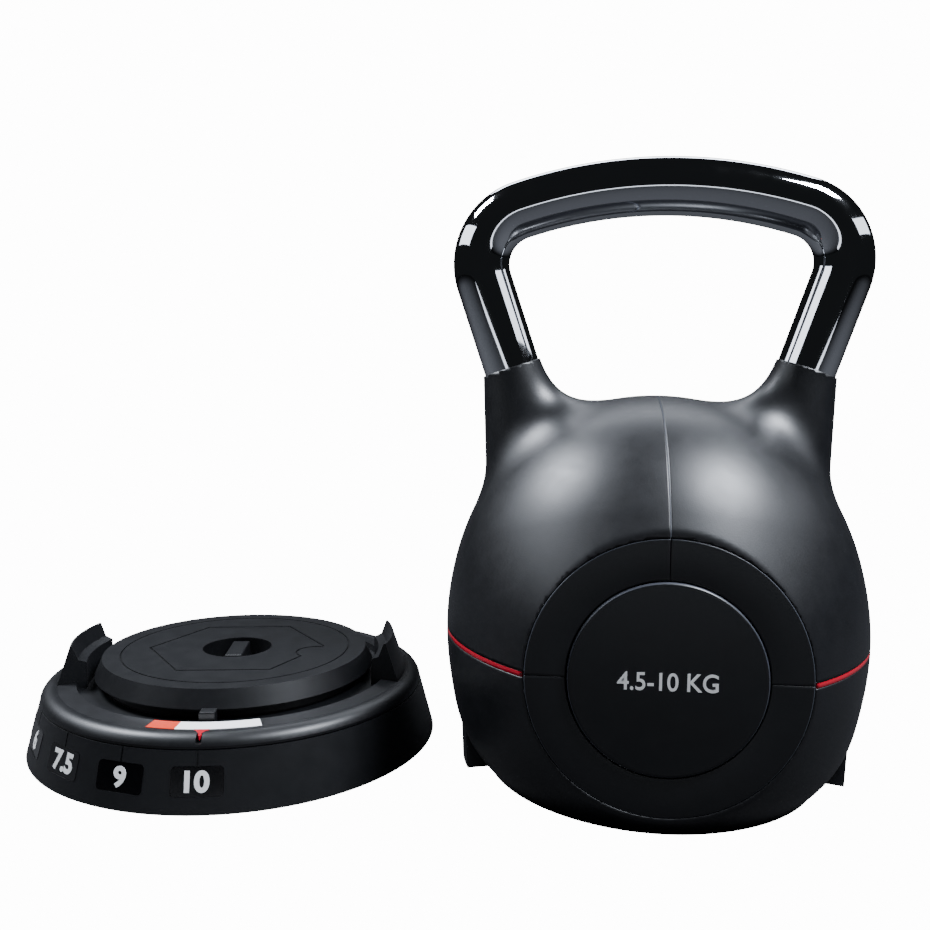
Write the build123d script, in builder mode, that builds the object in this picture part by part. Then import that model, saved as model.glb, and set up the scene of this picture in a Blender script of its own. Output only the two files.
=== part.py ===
"""Adjustable kettlebell and its dial base, standing side by side. Millimetres, +Z up.

The origin is on the floor on the bell's axis, and the bell's front looks along -Y.
The base has its own frame, turned a little, whose -Y is the way its red pointer looks.
"""
import os
from math import asin, cos, degrees, radians, sin, sqrt

from build123d import *

os.makedirs("parts", exist_ok=True)

# ---------------------------------------------------------------- driving dimensions: bell
body_radius = 99.6          # widest part of the body
body_waist_height = 66      # height of the widest part
foot_radius = 77.5          # rounded bowl ends in a round foot
bowl_insets = (10.4, 2.4, 3.8, 18.1)    # how far the side stands inside the widest part
bowl_heights = (15, 42, 101, 136)
foot_tangent = (0.75, 0.66)
crown_height = 181
shoulder_radius = 50        # where the round crown meets the side of the body
crown_drop = 13
wall = 3                    # moulded shell wall
disc_radius = 58.1          # flat round face at front and rear
disc_height = 68.4
disc_face = 85.5            # distance of that face from the bell's axis
disc_groove = 0.8
front_bulge = 106           # half length of the bulge that carries the two flat faces
bulge_radius = 98
bulge_half_height = 59.5    # above and below this the bulge lies inside the round body
cap_radius = 40.5
cap_proud = 1.5             # the cap stands this far out of the disc face
cap_skin = 1.6
cap_pocket_depth = 3
accent_height = 2.5         # red strip in the parting between upper and lower shells
accent_depth = 2
fit_gap = 0.1               # between pieces of one body
free_gap = 0.4              # between pieces that move past each other

# handle
tube_radius = 13.5
tube_wall = 3
grip_apex = 278.5           # centreline height at the middle of the grip
grip_arc_radius = 216.5
grip_half_angle = 17.7
corner_radius = 26.5
leg_angle = 18.5            # legs lean outwards going up
leg_end_height = 152
horn_top_height = 193.6     # where the tube leaves its horn
horn_lip = 0.9              # horn wall round the tube at its mouth
horn_bore_depth = 60
# sections of a horn below its mouth: height, shift outwards from the leg's axis, half width, half depth
horn_sections = [(174, 1.2, 17.6, 18), (152, 0.9, 25.4, 25), (128, -3.2, 41, 38)]
insert_length = 24
handle_bolt_radius = 4
bolt_head_radius = 6.5
bolt_head_height = 8
bolt_tip_gap = 4            # the bolt stops this far short of the insert's end
bolt_socket = 3.2           # hexagon socket, across its corners over two
bolt_socket_depth = 4

# yoke and fixed weight
yoke_thickness = 6
yoke_margin = 3.5           # yoke beside the tube
yoke_tab_margin = 1.5
yoke_screw_inset = 19       # from the tab's inner end
yoke_screw_radius = 4
yoke_screw_bite = 18
yoke_head_height = 5
weight_radius = 72
weight_clearance = 3.5      # over the top plate
weight_thickness = 14
weight_block_corner = 5
weight_block = (62, 46)
weight_ear_radius = 6.5
weight_ear_pitch = 80
weight_ear_thickness = 5
weight_screw_radius = 2
weight_screw_length = 24
weight_head_radius = 4.5
weight_head_height = 4
weight_socket = 2.2
weight_socket_depth = 2.5
boss_depth = 26
boss_margin = 0.5           # a boss is this much smaller than its ear

# plate stack
sleeve_radius = 73          # inside of the well that the plates hang in
sleeve_wall = 2
plate_radius = 72
plate_thickness = 14.1
small_plate_thickness = 9.4
plate_gap = 0.6
stack_floor = 17
plate_bore = 17
finger_recess_radius = 25
finger_recess_depth = 4.4
rib_width = 6
rib_reach = 2.5

# selector spindle
spindle_radius = 15
spindle_foot = 6
finger_radius = 23
finger_thickness = 3
finger_width = 9
journal_radius = 9
journal_clearance = 0.05
journal_rise = 18           # journal above the weight's top
bush_wall = 3
bush_flange = 2.5
bush_flange_thickness = 2
clip_height = 4.4           # of the clip's groove above the weight's top
clip_thickness = 1.2
clip_grip = 1.5             # depth of the clip's groove
washer_thickness = 1.6
window_clearance = 1.5      # round the flange, in the window through the block
window_height_inside = 8
spindle_head_gap = 0.6
key_length = 26
key_width = 9
key_clearance = 0.5
key_slot_depth = 9
dial_step = 20.3            # degrees between two weights
dial_count = 5
ball_radius = 2.5
ball_travel = 1.2
ball_clearance = 0.05
detent_drop = 4             # detent below the journal's top
detent_screw_length = 3.5
spring_radius = 1.8
spring_wire = 0.3
spring_gap = 0.1

# dock sockets on the lower shell, and the lugs that enter them
lug_half_angle = 16.5
lug_clearance_angle = 0.8
socket_wall_angle = 1.7
socket_inner_radius = 90
socket_outer_radius = 92.4
socket_floor = 3.5
socket_height = 24

# ---------------------------------------------------------------- driving dimensions: base
ring_foot_radius = 103.8
side_gap = 10.6             # between the bell and the base
base_setback = 13.2
base_heading = 9.3
ring_foot = 2               # upright edge at the ring's foot
ring_top_radius = 96.8
ring_top = 28
deck_top = 27
deck_thickness = 3
table_radius = 96.5
table_inner_radius = 63
rim_edge_height = 29.6
rim_middle = (94.9, 32.3)   # on the rounded rim, as (radius, height)
land_outer = (88.5, 33.9)   # the label's flat land, between the rim and the trough
land_inner = (79.8, 34.4)
trough_radii = (66, 79)
trough_floor = 31.2
table_lip = 38
lug_outline = [(88.8, 33.8), (82.3, 53), (81.3, 53), (78.5, 46), (74.5, 44.5)]
pointer_back = 88.2
pointer_tip = 93.2
pointer_half = 3.1
pointer_floor = 32
slot_width = 2.6
slot_floor = 30.6
label_radii = (80.2, 87.8)
label_thickness = 0.2
label_sweep = 34
platform_radius = 67.4
platform_skirt_radius = 71.2
platform_top = 45.5
platform_skirt = 37
skirt_wall = 2.5
platform_post_pitch = 45
groove_depth = 0.7
round_groove_radius = 58.9
groove_width = 0.8
hex_radius = 46
hex_notch = (43, -14, 9)    # pitch, angle and radius of the round notch in the hexagon
platform_thickness = 3
hub_radius = 61
hub_wall = 3
well_radius = 17.8
well_floor = 34
well_bottom = 2
key_height = 9
key_rounding = 1
glide_radii = (84, 92)
glide_thickness = 1.4
glide_gap = 0.1
window_size = (23, 13)
window_height = 15.5
window_depth = 0.9
window_corner = 2
window_plate = 0.5
mark_width = 0.8
cover_thickness = 2
pad_thickness = 1.5
pad_radius = 8
post_radius = 4.5
post_pitch = 88
cover_screw_radius = 1.6
cover_screw_length = 12
cover_head = (3, 1.2)       # radius, thickness
platform_screw_radius = 1.8
platform_head = (4, 2.4)
drain_slot = (14, 4)
drain_pitch = 20
latch_size = (7, 6.2)
latch_foot = (12, 8)
latch_foot_thickness = 1.6
latch_reach = 75
latch_spring_room = 7
latch_height = 12.2
latch_rounding = 0.8
base_detent_level = 33
base_detent_boss = (10, 54, 12)     # width, reach and height of the boss behind the ball
base_spring_start = 52.6
base_screw_reach = 49.2
base_screw_length = 3.2

# ---------------------------------------------------------------- derived frames
base_centre = (-(body_radius + ring_foot_radius + side_gap), base_setback)
socket_half_angle = lug_half_angle + lug_clearance_angle
lean = radians(leg_angle)
grip_centre_z = grip_apex - grip_arc_radius
corner_reach = grip_arc_radius - corner_radius
corner_x = corner_reach * sin(radians(grip_half_angle))
corner_z = grip_centre_z + corner_reach * cos(radians(grip_half_angle))
leg_top = (corner_x + corner_radius * cos(lean), corner_z - corner_radius * sin(lean))


def leg_point(height):
    """Point (x, z) on the right leg's axis at a height."""
    return (leg_top[0] - (leg_top[1] - height) * sin(lean) / cos(lean), height)


def leg_plane(height, side):
    """Plane across a leg, with its normal up the leg."""
    x, z = leg_point(height)
    return Plane(origin=(side * x, 0, z), x_dir=(cos(lean), 0, -side * sin(lean)),
                 z_dir=(side * sin(lean), 0, cos(lean)))


def disc_plane(side, reach):
    """Plane of the round face at front (side -1) or rear (side 1), looking outwards."""
    return Plane(origin=(0, side * reach, disc_height), x_dir=(-side, 0, 0), z_dir=(0, side, 0))


base_frame = Plane(origin=(*base_centre, 0), z_dir=(0, 0, 1),
                   x_dir=(cos(radians(base_heading)), sin(radians(base_heading)), 0))
base_axis = Axis((*base_centre, 0), (0, 0, 1))


def upright_section(centre, turn):
    """Upright plane through an axis, for profiles in (radius, height)."""
    angle = radians(turn)
    return Plane(origin=(*centre, 0), x_dir=(cos(angle), sin(angle), 0), z_dir=(sin(angle), -cos(angle), 0))


def base_section(turn=0):
    return upright_section(base_centre, base_heading + turn)


def bell_section(turn=0):
    return upright_section((0, 0), turn)


def finish(piece, name):
    """Name a finished piece and write it."""
    piece.part.label = name
    export_step(piece.part, f"parts/{name}.step")


# ---------------------------------------------------------------- outer form of the bell
# the crown is a round cap, and the side of the body, as (radius, height), runs up to it from the foot
crown_radius = (shoulder_radius ** 2 + crown_drop ** 2) / (2 * crown_drop)
shoulder_slope = degrees(asin(shoulder_radius / crown_radius))
shoulder_tangent = (-cos(radians(shoulder_slope)), sin(radians(shoulder_slope)))
body_side = [(body_radius - inset, height) for inset, height in zip(bowl_insets, bowl_heights)]
body_side = [(foot_radius, 0), *body_side[:2], (body_radius, body_waist_height), *body_side[2:],
             (shoulder_radius, crown_height - crown_drop)]
body_curve = Spline(*body_side, tangents=[foot_tangent, shoulder_tangent])
side_steps = [i / 8 for i in range(9)]


def bell_form(inset):
    """Solid outer shape of the bell, with every wall moved in by inset."""
    with BuildPart() as bulge:
        with BuildSketch(Plane.XY.offset(disc_height)):
            Ellipse(bulge_radius - inset, front_bulge - inset)
            with Locations((bulge_radius, 0)):
                Rectangle(2 * bulge_radius, 2 * disc_face, mode=Mode.INTERSECT)
        revolve(axis=Axis((0, 0, disc_height), (0, 1, 0)))
        split(bisect_by=Plane.XY.offset(disc_height - bulge_half_height), keep=Keep.TOP)
        split(bisect_by=Plane.XY.offset(disc_height + bulge_half_height), keep=Keep.BOTTOM)

    side_points = [body_curve @ u + inset * (body_curve % u).rotate(Axis.Z, 90) for u in side_steps]
    with BuildPart() as form:
        with BuildSketch(Plane.XZ):
            with BuildLine():
                side_curve = Spline(*side_points, tangents=[body_curve % 0, body_curve % 1])
                crown = JernArc(start=side_curve @ 1, tangent=side_curve % 1, radius=crown_radius - inset,
                                arc_size=shoulder_slope)
                Polyline(crown @ 1, (0, (side_curve @ 0).Y), side_curve @ 0)
            make_face()
        revolve(axis=Axis.Z)
        add(bulge.part)
        for side in (-1, 1):
            with BuildSketch(leg_plane(horn_top_height, side)):
                Circle(tube_radius + horn_lip - min(inset, horn_lip))
            for height, shift, half_width, half_depth in horn_sections:
                with BuildSketch(Plane.XY.offset(height)):
                    with Locations((side * (leg_point(height)[0] + shift), 0)):
                        Ellipse(half_width - inset, half_depth - inset)
            loft()
    return form.part


outer_form = bell_form(0)
inner_form = bell_form(wall)
accent_form = bell_form(accent_depth)

with BuildPart() as cavity:
    add(inner_form)
    for side in (-1, 1):
        with BuildSketch(disc_plane(side, disc_face - wall)):
            Circle(disc_radius + 2 * wall)
        extrude(amount=2 * wall + body_radius - disc_face, mode=Mode.SUBTRACT)
        with BuildSketch(disc_plane(side, disc_face - wall - cap_pocket_depth)):
            Circle(cap_radius + wall)
        extrude(amount=cap_pocket_depth, mode=Mode.SUBTRACT)

with BuildPart() as shell_blank:
    add(outer_form)
    add(cavity.part, mode=Mode.SUBTRACT)
    for side in (-1, 1):
        with BuildSketch(disc_plane(side, disc_face)):
            Circle(disc_radius)
        extrude(amount=body_radius, mode=Mode.SUBTRACT)
        with BuildSketch(disc_plane(side, disc_face)):
            Circle(disc_radius)
            Circle(disc_radius - disc_groove, mode=Mode.SUBTRACT)
        extrude(amount=-disc_groove, mode=Mode.SUBTRACT)
        with BuildSketch(disc_plane(side, disc_face)):
            Circle(cap_radius + fit_gap)
        extrude(amount=-cap_pocket_depth, mode=Mode.SUBTRACT)
        with BuildSketch(leg_plane(horn_top_height, side)):
            Circle(tube_radius + fit_gap)
        extrude(amount=-horn_bore_depth, mode=Mode.SUBTRACT)


def accent_groove(floor):
    """Half of the groove for the red strips, from a height up, clear of the round faces."""
    with BuildPart() as groove:
        with BuildSketch(Plane.XY.offset(floor)):
            Rectangle(3 * body_radius, 3 * body_radius)
        extrude(amount=accent_height / 2)
        add(accent_form, mode=Mode.SUBTRACT)
        for side in (-1, 1):
            with BuildSketch(disc_plane(side, 0)):
                Circle(disc_radius)
            extrude(amount=2 * body_radius, mode=Mode.SUBTRACT)
    return groove.part


lower_groove = accent_groove(disc_height - accent_height / 2)
upper_groove = accent_groove(disc_height)

# ---------------------------------------------------------------- plate stack heights
thicknesses = [plate_thickness] * 3 + [small_plate_thickness]
plate_floors = [stack_floor + sum(thicknesses[:i]) + i * plate_gap for i in range(4)]
stack_top = plate_floors[3] + small_plate_thickness
weight_floor = stack_top + weight_clearance
dial_sweep = dial_step * (dial_count - 1)
clamp_pitch = 28
clamp_screw_radius = 1.5
clamp_plate_radius = 36
clamp_plate_thickness = 3
clamp_head_height = 2
clamp_socket = (1.3, 1.2)   # half width and depth
clamp_hole_depth = 10

# ---------------------------------------------------------------- lower shell
with BuildPart() as lower_shell:
    add(shell_blank.part)
    split(bisect_by=Plane.XY.offset(disc_height), keep=Keep.BOTTOM)
    with BuildSketch(Plane.XY):
        Circle(sleeve_radius)
    extrude(amount=wall + fit_gap, mode=Mode.SUBTRACT)
    with BuildSketch(Plane.XY):
        Circle(sleeve_radius + sleeve_wall)
        Circle(sleeve_radius, mode=Mode.SUBTRACT)
    extrude(amount=weight_floor)
    # ribs that keep the plates from turning
    with BuildSketch(Plane.XY.offset(stack_floor)):
        with PolarLocations(sleeve_radius - rib_reach / 2, 2, start_angle=90):
            Rectangle(rib_reach + 1, rib_width)
    extrude(amount=stack_top - stack_floor)
    # bosses for the weight's screws
    with BuildSketch(Plane.XY.offset(weight_floor - boss_depth)):
        with PolarLocations(weight_ear_pitch, 4, start_angle=45):
            Circle(weight_ear_radius - boss_margin)
        Circle(sleeve_radius + sleeve_wall / 2, mode=Mode.SUBTRACT)
    extrude(amount=boss_depth)
    with Locations(Plane.XY.offset(weight_floor)):
        with PolarLocations(weight_ear_pitch, 4, start_angle=45):
            Hole(radius=weight_screw_radius, depth=weight_screw_length - weight_ear_thickness + 1)
    # dock sockets at the two sides
    for turn in (0, 180):
        with BuildSketch(bell_section(turn - socket_half_angle - socket_wall_angle)):
            socket_top = socket_height + wall + 1
            Polygon((sleeve_radius, socket_floor), (socket_outer_radius - 1, socket_floor),
                    (socket_outer_radius, socket_top), (sleeve_radius, socket_top), align=None)
        revolve(axis=Axis.Z, revolution_arc=2 * (socket_half_angle + socket_wall_angle))
    for turn in (0, 180):
        with BuildSketch(bell_section(turn - socket_half_angle)):
            with Locations((sleeve_radius - 1, -1)):
                Rectangle(socket_inner_radius - sleeve_radius + 1, socket_height + 1,
                          align=(Align.MIN, Align.MIN))
        revolve(axis=Axis.Z, revolution_arc=2 * socket_half_angle, mode=Mode.SUBTRACT)
    add(lower_groove, mode=Mode.SUBTRACT)
    for side in (-1, 1):
        with Locations(disc_plane(side, disc_face - cap_pocket_depth)):
            with PolarLocations(clamp_pitch, 2, start_angle=225, angular_range=180):
                Hole(radius=clamp_screw_radius + fit_gap, depth=clamp_hole_depth)
finish(lower_shell, "lower_shell")

# ---------------------------------------------------------------- upper shells, left and right
with BuildPart() as upper_blank:
    add(shell_blank.part)
    split(bisect_by=Plane.XY.offset(disc_height), keep=Keep.TOP)
    add(upper_groove, mode=Mode.SUBTRACT)
    for side in (-1, 1):
        with Locations(disc_plane(side, disc_face - cap_pocket_depth)):
            with PolarLocations(clamp_pitch, 2, start_angle=45, angular_range=180):
                Hole(radius=clamp_screw_radius + fit_gap, depth=clamp_hole_depth)

with BuildPart() as upper_shell_right:
    add(upper_blank.part)
    split(bisect_by=Plane.YZ, keep=Keep.TOP)
finish(upper_shell_right, "upper_shell_right")

with BuildPart() as upper_shell_left:
    add(upper_blank.part)
    split(bisect_by=Plane.YZ, keep=Keep.BOTTOM)
finish(upper_shell_left, "upper_shell_left")

# ---------------------------------------------------------------- red accent strips
with BuildPart() as accent_strips:
    add(outer_form)
    add(accent_form, mode=Mode.SUBTRACT)
    with BuildSketch(Plane.XY.offset(disc_height - accent_height / 2)):
        Rectangle(3 * body_radius, 3 * body_radius)
    extrude(amount=accent_height, mode=Mode.INTERSECT)
    for side in (-1, 1):
        with BuildSketch(disc_plane(side, 0)):
            Circle(disc_radius + fit_gap)
        extrude(amount=2 * body_radius, mode=Mode.SUBTRACT)
finish(accent_strips, "accent_strips")

# ---------------------------------------------------------------- caps, clamp plates and their screws
for side, place in ((-1, "front"), (1, "rear")):
    with BuildPart() as cap:
        with BuildSketch(disc_plane(side, disc_face - cap_pocket_depth)):
            Circle(cap_radius)
        extrude(amount=cap_pocket_depth + cap_proud)
        fillet(cap.edges().group_by(Axis.Y)[-1 if side > 0 else 0], cap_proud - fit_gap)
        with BuildSketch(disc_plane(side, disc_face - cap_pocket_depth)):
            Circle(cap_radius - cap_skin)
        extrude(amount=cap_pocket_depth + cap_proud - cap_skin, mode=Mode.SUBTRACT)
    finish(cap, f"{place}_cap")

    with BuildPart() as clamp_plate:
        with BuildSketch(disc_plane(side, disc_face - cap_pocket_depth - wall)):
            Circle(clamp_plate_radius)
            with PolarLocations(clamp_pitch, 4, start_angle=45):
                Circle(clamp_screw_radius, mode=Mode.SUBTRACT)
        extrude(amount=-clamp_plate_thickness)
    finish(clamp_plate, f"{place}_clamp_plate")

    with BuildPart() as clamp_screws:
        with BuildSketch(disc_plane(side, disc_face - cap_pocket_depth)):
            with PolarLocations(clamp_pitch, 4, start_angle=45):
                Circle(clamp_screw_radius)
        extrude(amount=-wall - clamp_plate_thickness)
        with BuildSketch(disc_plane(side, disc_face - cap_pocket_depth)):
            with PolarLocations(clamp_pitch, 4, start_angle=45):
                Circle(2 * clamp_screw_radius)
        extrude(amount=clamp_head_height)
        with BuildSketch(disc_plane(side, disc_face - cap_pocket_depth + clamp_head_height)):
            with PolarLocations(clamp_pitch, 4, start_angle=45):
                RegularPolygon(clamp_socket[0], 6)
        extrude(amount=-clamp_socket[1], mode=Mode.SUBTRACT)
    finish(clamp_screws, f"{place}_clamp_screws")

# ---------------------------------------------------------------- handle and what holds it
with BuildPart() as handle:
    with BuildLine() as handle_path:
        leg = Line((leg_point(leg_end_height)[0], 0, leg_end_height), (leg_top[0], 0, leg_top[1]))
        bend = TangentArc(leg @ 1, (grip_arc_radius * sin(radians(grip_half_angle)), 0,
                                    grip_centre_z + grip_arc_radius * cos(radians(grip_half_angle))),
                          tangent=leg % 1)
        ThreePointArc(bend @ 1, (0, 0, grip_apex), (-(bend @ 1).X, 0, (bend @ 1).Z))
        mirror(leg, about=Plane.YZ)
        mirror(bend, about=Plane.YZ)
    with BuildSketch(leg_plane(leg_end_height, 1)):
        Circle(tube_radius)
        Circle(tube_radius - tube_wall, mode=Mode.SUBTRACT)
    sweep(path=handle_path.wires()[0])
finish(handle, "handle")

with BuildPart() as handle_inserts:
    for side in (-1, 1):
        with BuildSketch(leg_plane(leg_end_height, side)):
            Circle(tube_radius - tube_wall)
            Circle(handle_bolt_radius, mode=Mode.SUBTRACT)
        extrude(amount=insert_length)
finish(handle_inserts, "handle_inserts")

with BuildPart() as handle_bolts:
    for side in (-1, 1):
        under_tab = leg_plane(leg_end_height, side).offset(-yoke_thickness)
        with BuildSketch(under_tab):
            Circle(handle_bolt_radius)
        extrude(amount=yoke_thickness + insert_length - bolt_tip_gap)
        with BuildSketch(under_tab):
            Circle(bolt_head_radius)
        extrude(amount=-bolt_head_height)
        with BuildSketch(under_tab.offset(-bolt_head_height)):
            RegularPolygon(bolt_socket, 6)
        extrude(amount=bolt_socket_depth, mode=Mode.SUBTRACT)
finish(handle_bolts, "handle_bolts")

yoke_tab_half = tube_radius + yoke_tab_margin
yoke_width = 2 * (tube_radius + yoke_margin)
tab_x, tab_z = leg_point(leg_end_height)
tab_inner = (tab_x - yoke_tab_half * cos(lean), tab_z + yoke_tab_half * sin(lean))
tab_outer = (tab_x + yoke_tab_half * cos(lean), tab_z - yoke_tab_half * sin(lean))
tab_under = (yoke_thickness * sin(lean), yoke_thickness * cos(lean))
yoke_top = tab_inner[1]
yoke_floor = yoke_top - yoke_thickness
yoke_screw_pitch = 2 * (tab_inner[0] - yoke_screw_inset)
with BuildPart() as yoke_plate:
    with BuildSketch(Plane.XZ):
        half_outline = [(0, yoke_top), tab_inner, tab_outer,
                        (tab_outer[0] - tab_under[0], tab_outer[1] - tab_under[1]),
                        (tab_inner[0] - tab_under[0] / 2, yoke_floor), (0, yoke_floor)]
        Polygon(*half_outline, align=None)
        mirror(about=Plane.YZ)
    extrude(amount=yoke_width / 2, both=True)
    for side in (-1, 1):
        with BuildSketch(leg_plane(leg_end_height, side).offset(2)):
            Circle(handle_bolt_radius + fit_gap)
        extrude(amount=-2 - 2 * yoke_thickness, mode=Mode.SUBTRACT)
    with Locations(Plane.XY.offset(yoke_top)):
        with GridLocations(yoke_screw_pitch, 0, 2, 1):
            Hole(radius=yoke_screw_radius + fit_gap, depth=2 * yoke_thickness)
finish(yoke_plate, "yoke_plate")

# ---------------------------------------------------------------- fixed weight
window_floor = weight_floor + weight_thickness
journal_top = window_floor + journal_rise
bush_radius = journal_radius + bush_wall
with BuildPart() as top_weight:
    with BuildSketch(Plane.XY.offset(weight_floor)):
        Circle(weight_radius)
    extrude(amount=weight_thickness)
    with BuildSketch(Plane.XY.offset(weight_floor)):
        with PolarLocations(weight_ear_pitch, 4, start_angle=45):
            Circle(weight_ear_radius)
        with PolarLocations(weight_ear_pitch - weight_ear_radius, 4, start_angle=45):
            Rectangle(2 * weight_ear_radius, 2 * weight_ear_radius)
    extrude(amount=weight_ear_thickness)
    with BuildSketch(Plane.XY.offset(window_floor)):
        RectangleRounded(*weight_block, weight_block_corner)
    extrude(amount=yoke_floor - window_floor)
    with BuildSketch(Plane.XY.offset(window_floor)):
        Rectangle(2 * (bush_radius + bush_flange + window_clearance), 2 * weight_block[1])
    extrude(amount=window_height_inside, mode=Mode.SUBTRACT)
    with Locations(Plane.XY.offset(window_floor)):
        Hole(radius=bush_radius, depth=weight_thickness)
    with BuildSketch(Plane.XY.offset(window_floor)):
        Circle(journal_radius + free_gap)
    extrude(amount=journal_top + free_gap - window_floor, mode=Mode.SUBTRACT)
    with Locations(Plane.XY.offset(weight_floor + weight_ear_thickness)):
        with PolarLocations(weight_ear_pitch, 4, start_angle=45):
            Hole(radius=weight_screw_radius + free_gap, depth=2 * weight_ear_thickness)
    with Locations(Plane.XY.offset(yoke_floor)):
        with GridLocations(yoke_screw_pitch, 0, 2, 1):
            Hole(radius=yoke_screw_radius, depth=yoke_screw_bite + 2)
    # radial hole for the spindle's detent
    detent_height = journal_top - detent_drop
    with BuildSketch(Plane.XZ.offset(weight_block[1] / 2)):
        with Locations((0, detent_height)):
            Circle(ball_radius + ball_clearance)
    extrude(amount=-weight_block[1] / 2, mode=Mode.SUBTRACT)
finish(top_weight, "top_weight")

weight_seat = weight_floor + weight_ear_thickness
with BuildPart() as weight_screws:
    with BuildSketch(Plane.XY.offset(weight_seat)):
        with PolarLocations(weight_ear_pitch, 4, start_angle=45):
            Circle(weight_head_radius)
    extrude(amount=weight_head_height)
    with BuildSketch(Plane.XY.offset(weight_seat + 1)):
        with PolarLocations(weight_ear_pitch, 4, start_angle=45):
            Circle(weight_screw_radius)
    extrude(amount=-weight_screw_length)
    with BuildSketch(Plane.XY.offset(weight_seat + weight_head_height)):
        with PolarLocations(weight_ear_pitch, 4, start_angle=45):
            RegularPolygon(weight_socket, 6)
    extrude(amount=-weight_socket_depth, mode=Mode.SUBTRACT)
finish(weight_screws, "weight_screws")

with BuildPart() as yoke_screws:
    with BuildSketch(Plane.XY.offset(yoke_floor - yoke_screw_bite)):
        with GridLocations(yoke_screw_pitch, 0, 2, 1):
            Circle(yoke_screw_radius)
    extrude(amount=yoke_screw_bite + yoke_thickness)
    with BuildSketch(Plane.XY.offset(yoke_top)):
        with GridLocations(yoke_screw_pitch, 0, 2, 1):
            Circle(bolt_head_radius)
    extrude(amount=yoke_head_height)
    with BuildSketch(Plane.XY.offset(yoke_top + yoke_head_height)):
        with GridLocations(yoke_screw_pitch, 0, 2, 1):
            RegularPolygon(bolt_socket, 6)
    extrude(amount=2 - yoke_head_height, mode=Mode.SUBTRACT)
finish(yoke_screws, "yoke_screws")

# ---------------------------------------------------------------- weight plates
notch_margin = 14           # degrees of slot on each side of a finger
plate_chamfer = 1
for number, (floor, thickness) in enumerate(zip(plate_floors, thicknesses), start=1):
    first_free = dial_step * number
    with BuildPart() as plate:
        with BuildSketch(Plane.XY.offset(floor)):
            Circle(plate_radius)
            Circle(plate_bore, mode=Mode.SUBTRACT)
            with PolarLocations(plate_radius - rib_reach / 2, 2, start_angle=90):
                Rectangle(rib_reach + 2, rib_width + 1, mode=Mode.SUBTRACT)
        extrude(amount=thickness)
        round_edges = plate.edges().filter_by(GeomType.CIRCLE)
        chamfer(round_edges.filter_by(lambda edge: edge.radius > plate_radius - 1), plate_chamfer)
        with BuildSketch(Plane.XY.offset(floor)):
            Circle(finger_recess_radius)
        extrude(amount=finger_recess_depth, mode=Mode.SUBTRACT)
        # slots that let the fingers through once the dial has passed this plate
        for opposite in (0, 180):
            with BuildSketch(bell_section(opposite + first_free - notch_margin + 90)):
                with Locations((0, floor + finger_recess_depth)):
                    Rectangle(finger_radius + 1, thickness, align=(Align.MIN, Align.MIN))
            slot_sweep = dial_sweep - first_free + 2 * notch_margin
            revolve(axis=Axis.Z, revolution_arc=slot_sweep, mode=Mode.SUBTRACT)
    finish(plate, f"plate_{number}")

# ---------------------------------------------------------------- selector spindle and its bearings
with BuildPart() as selector_spindle:
    with BuildSketch(Plane.XY.offset(spindle_foot)):
        Circle(spindle_radius)
    extrude(amount=weight_floor - spindle_head_gap - spindle_foot)
    for floor in plate_floors:
        with BuildSketch(Plane.XY.offset(floor + (finger_recess_depth - finger_thickness) / 2)):
            Rectangle(finger_width, 2 * finger_radius)
        extrude(amount=finger_thickness)
    with BuildSketch(Plane.XY.offset(weight_floor - 1)):
        Circle(journal_radius)
    extrude(amount=journal_top - (weight_floor - 1))
    with BuildSketch(Plane.XY.offset(spindle_foot)):
        Rectangle(key_width + 2 * key_clearance, key_length + 2 * key_clearance)
    extrude(amount=key_slot_depth, mode=Mode.SUBTRACT)
    # groove for the retaining clip
    with BuildSketch(Plane.XY.offset(window_floor + clip_height)):
        Circle(journal_radius + 1)
        Circle(journal_radius - clip_grip, mode=Mode.SUBTRACT)
    extrude(amount=clip_thickness + 2 * fit_gap, mode=Mode.SUBTRACT)
    # detent notches, one for each weight
    for step in range(dial_count):
        notch_angle = radians(-90 - dial_step * step)
        notch_reach = journal_radius + ball_radius + ball_clearance - ball_travel
        with Locations((notch_reach * cos(notch_angle), notch_reach * sin(notch_angle), detent_height)):
            Sphere(ball_radius + ball_clearance, mode=Mode.SUBTRACT)
finish(selector_spindle, "selector_spindle")

with BuildPart() as spindle_bush:
    with BuildSketch(Plane.XY.offset(weight_floor)):
        Circle(bush_radius)
    extrude(amount=weight_thickness)
    with BuildSketch(Plane.XY.offset(window_floor)):
        Circle(bush_radius + bush_flange)
    extrude(amount=bush_flange_thickness)
    with BuildSketch(Plane.XY.offset(weight_floor)):
        Circle(journal_radius + journal_clearance)
    extrude(amount=weight_thickness + bush_flange_thickness, mode=Mode.SUBTRACT)
finish(spindle_bush, "spindle_bush")

with BuildPart() as spindle_washer:
    with BuildSketch(Plane.XY.offset(window_floor + bush_flange_thickness + free_gap)):
        Circle(bush_radius + bush_flange - 1)
        Circle(journal_radius + 3 * fit_gap, mode=Mode.SUBTRACT)
    extrude(amount=washer_thickness)
finish(spindle_washer, "spindle_washer")

with BuildPart() as spindle_clip:
    with BuildSketch(Plane.XY.offset(window_floor + clip_height + fit_gap)):
        Circle(bush_radius + fit_gap)
        Circle(journal_radius - clip_grip + fit_gap, mode=Mode.SUBTRACT)
        with Locations((0, -bush_radius)):
            Rectangle(journal_radius, bush_radius, mode=Mode.SUBTRACT)
    extrude(amount=clip_thickness)
finish(spindle_clip, "spindle_clip")

ball_reach = journal_radius + ball_radius + ball_clearance
detent_outside = weight_block[1] / 2
with BuildPart() as spindle_detent_ball:
    with Locations((0, -ball_reach, detent_height)):
        Sphere(ball_radius)
finish(spindle_detent_ball, "spindle_detent_ball")


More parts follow.
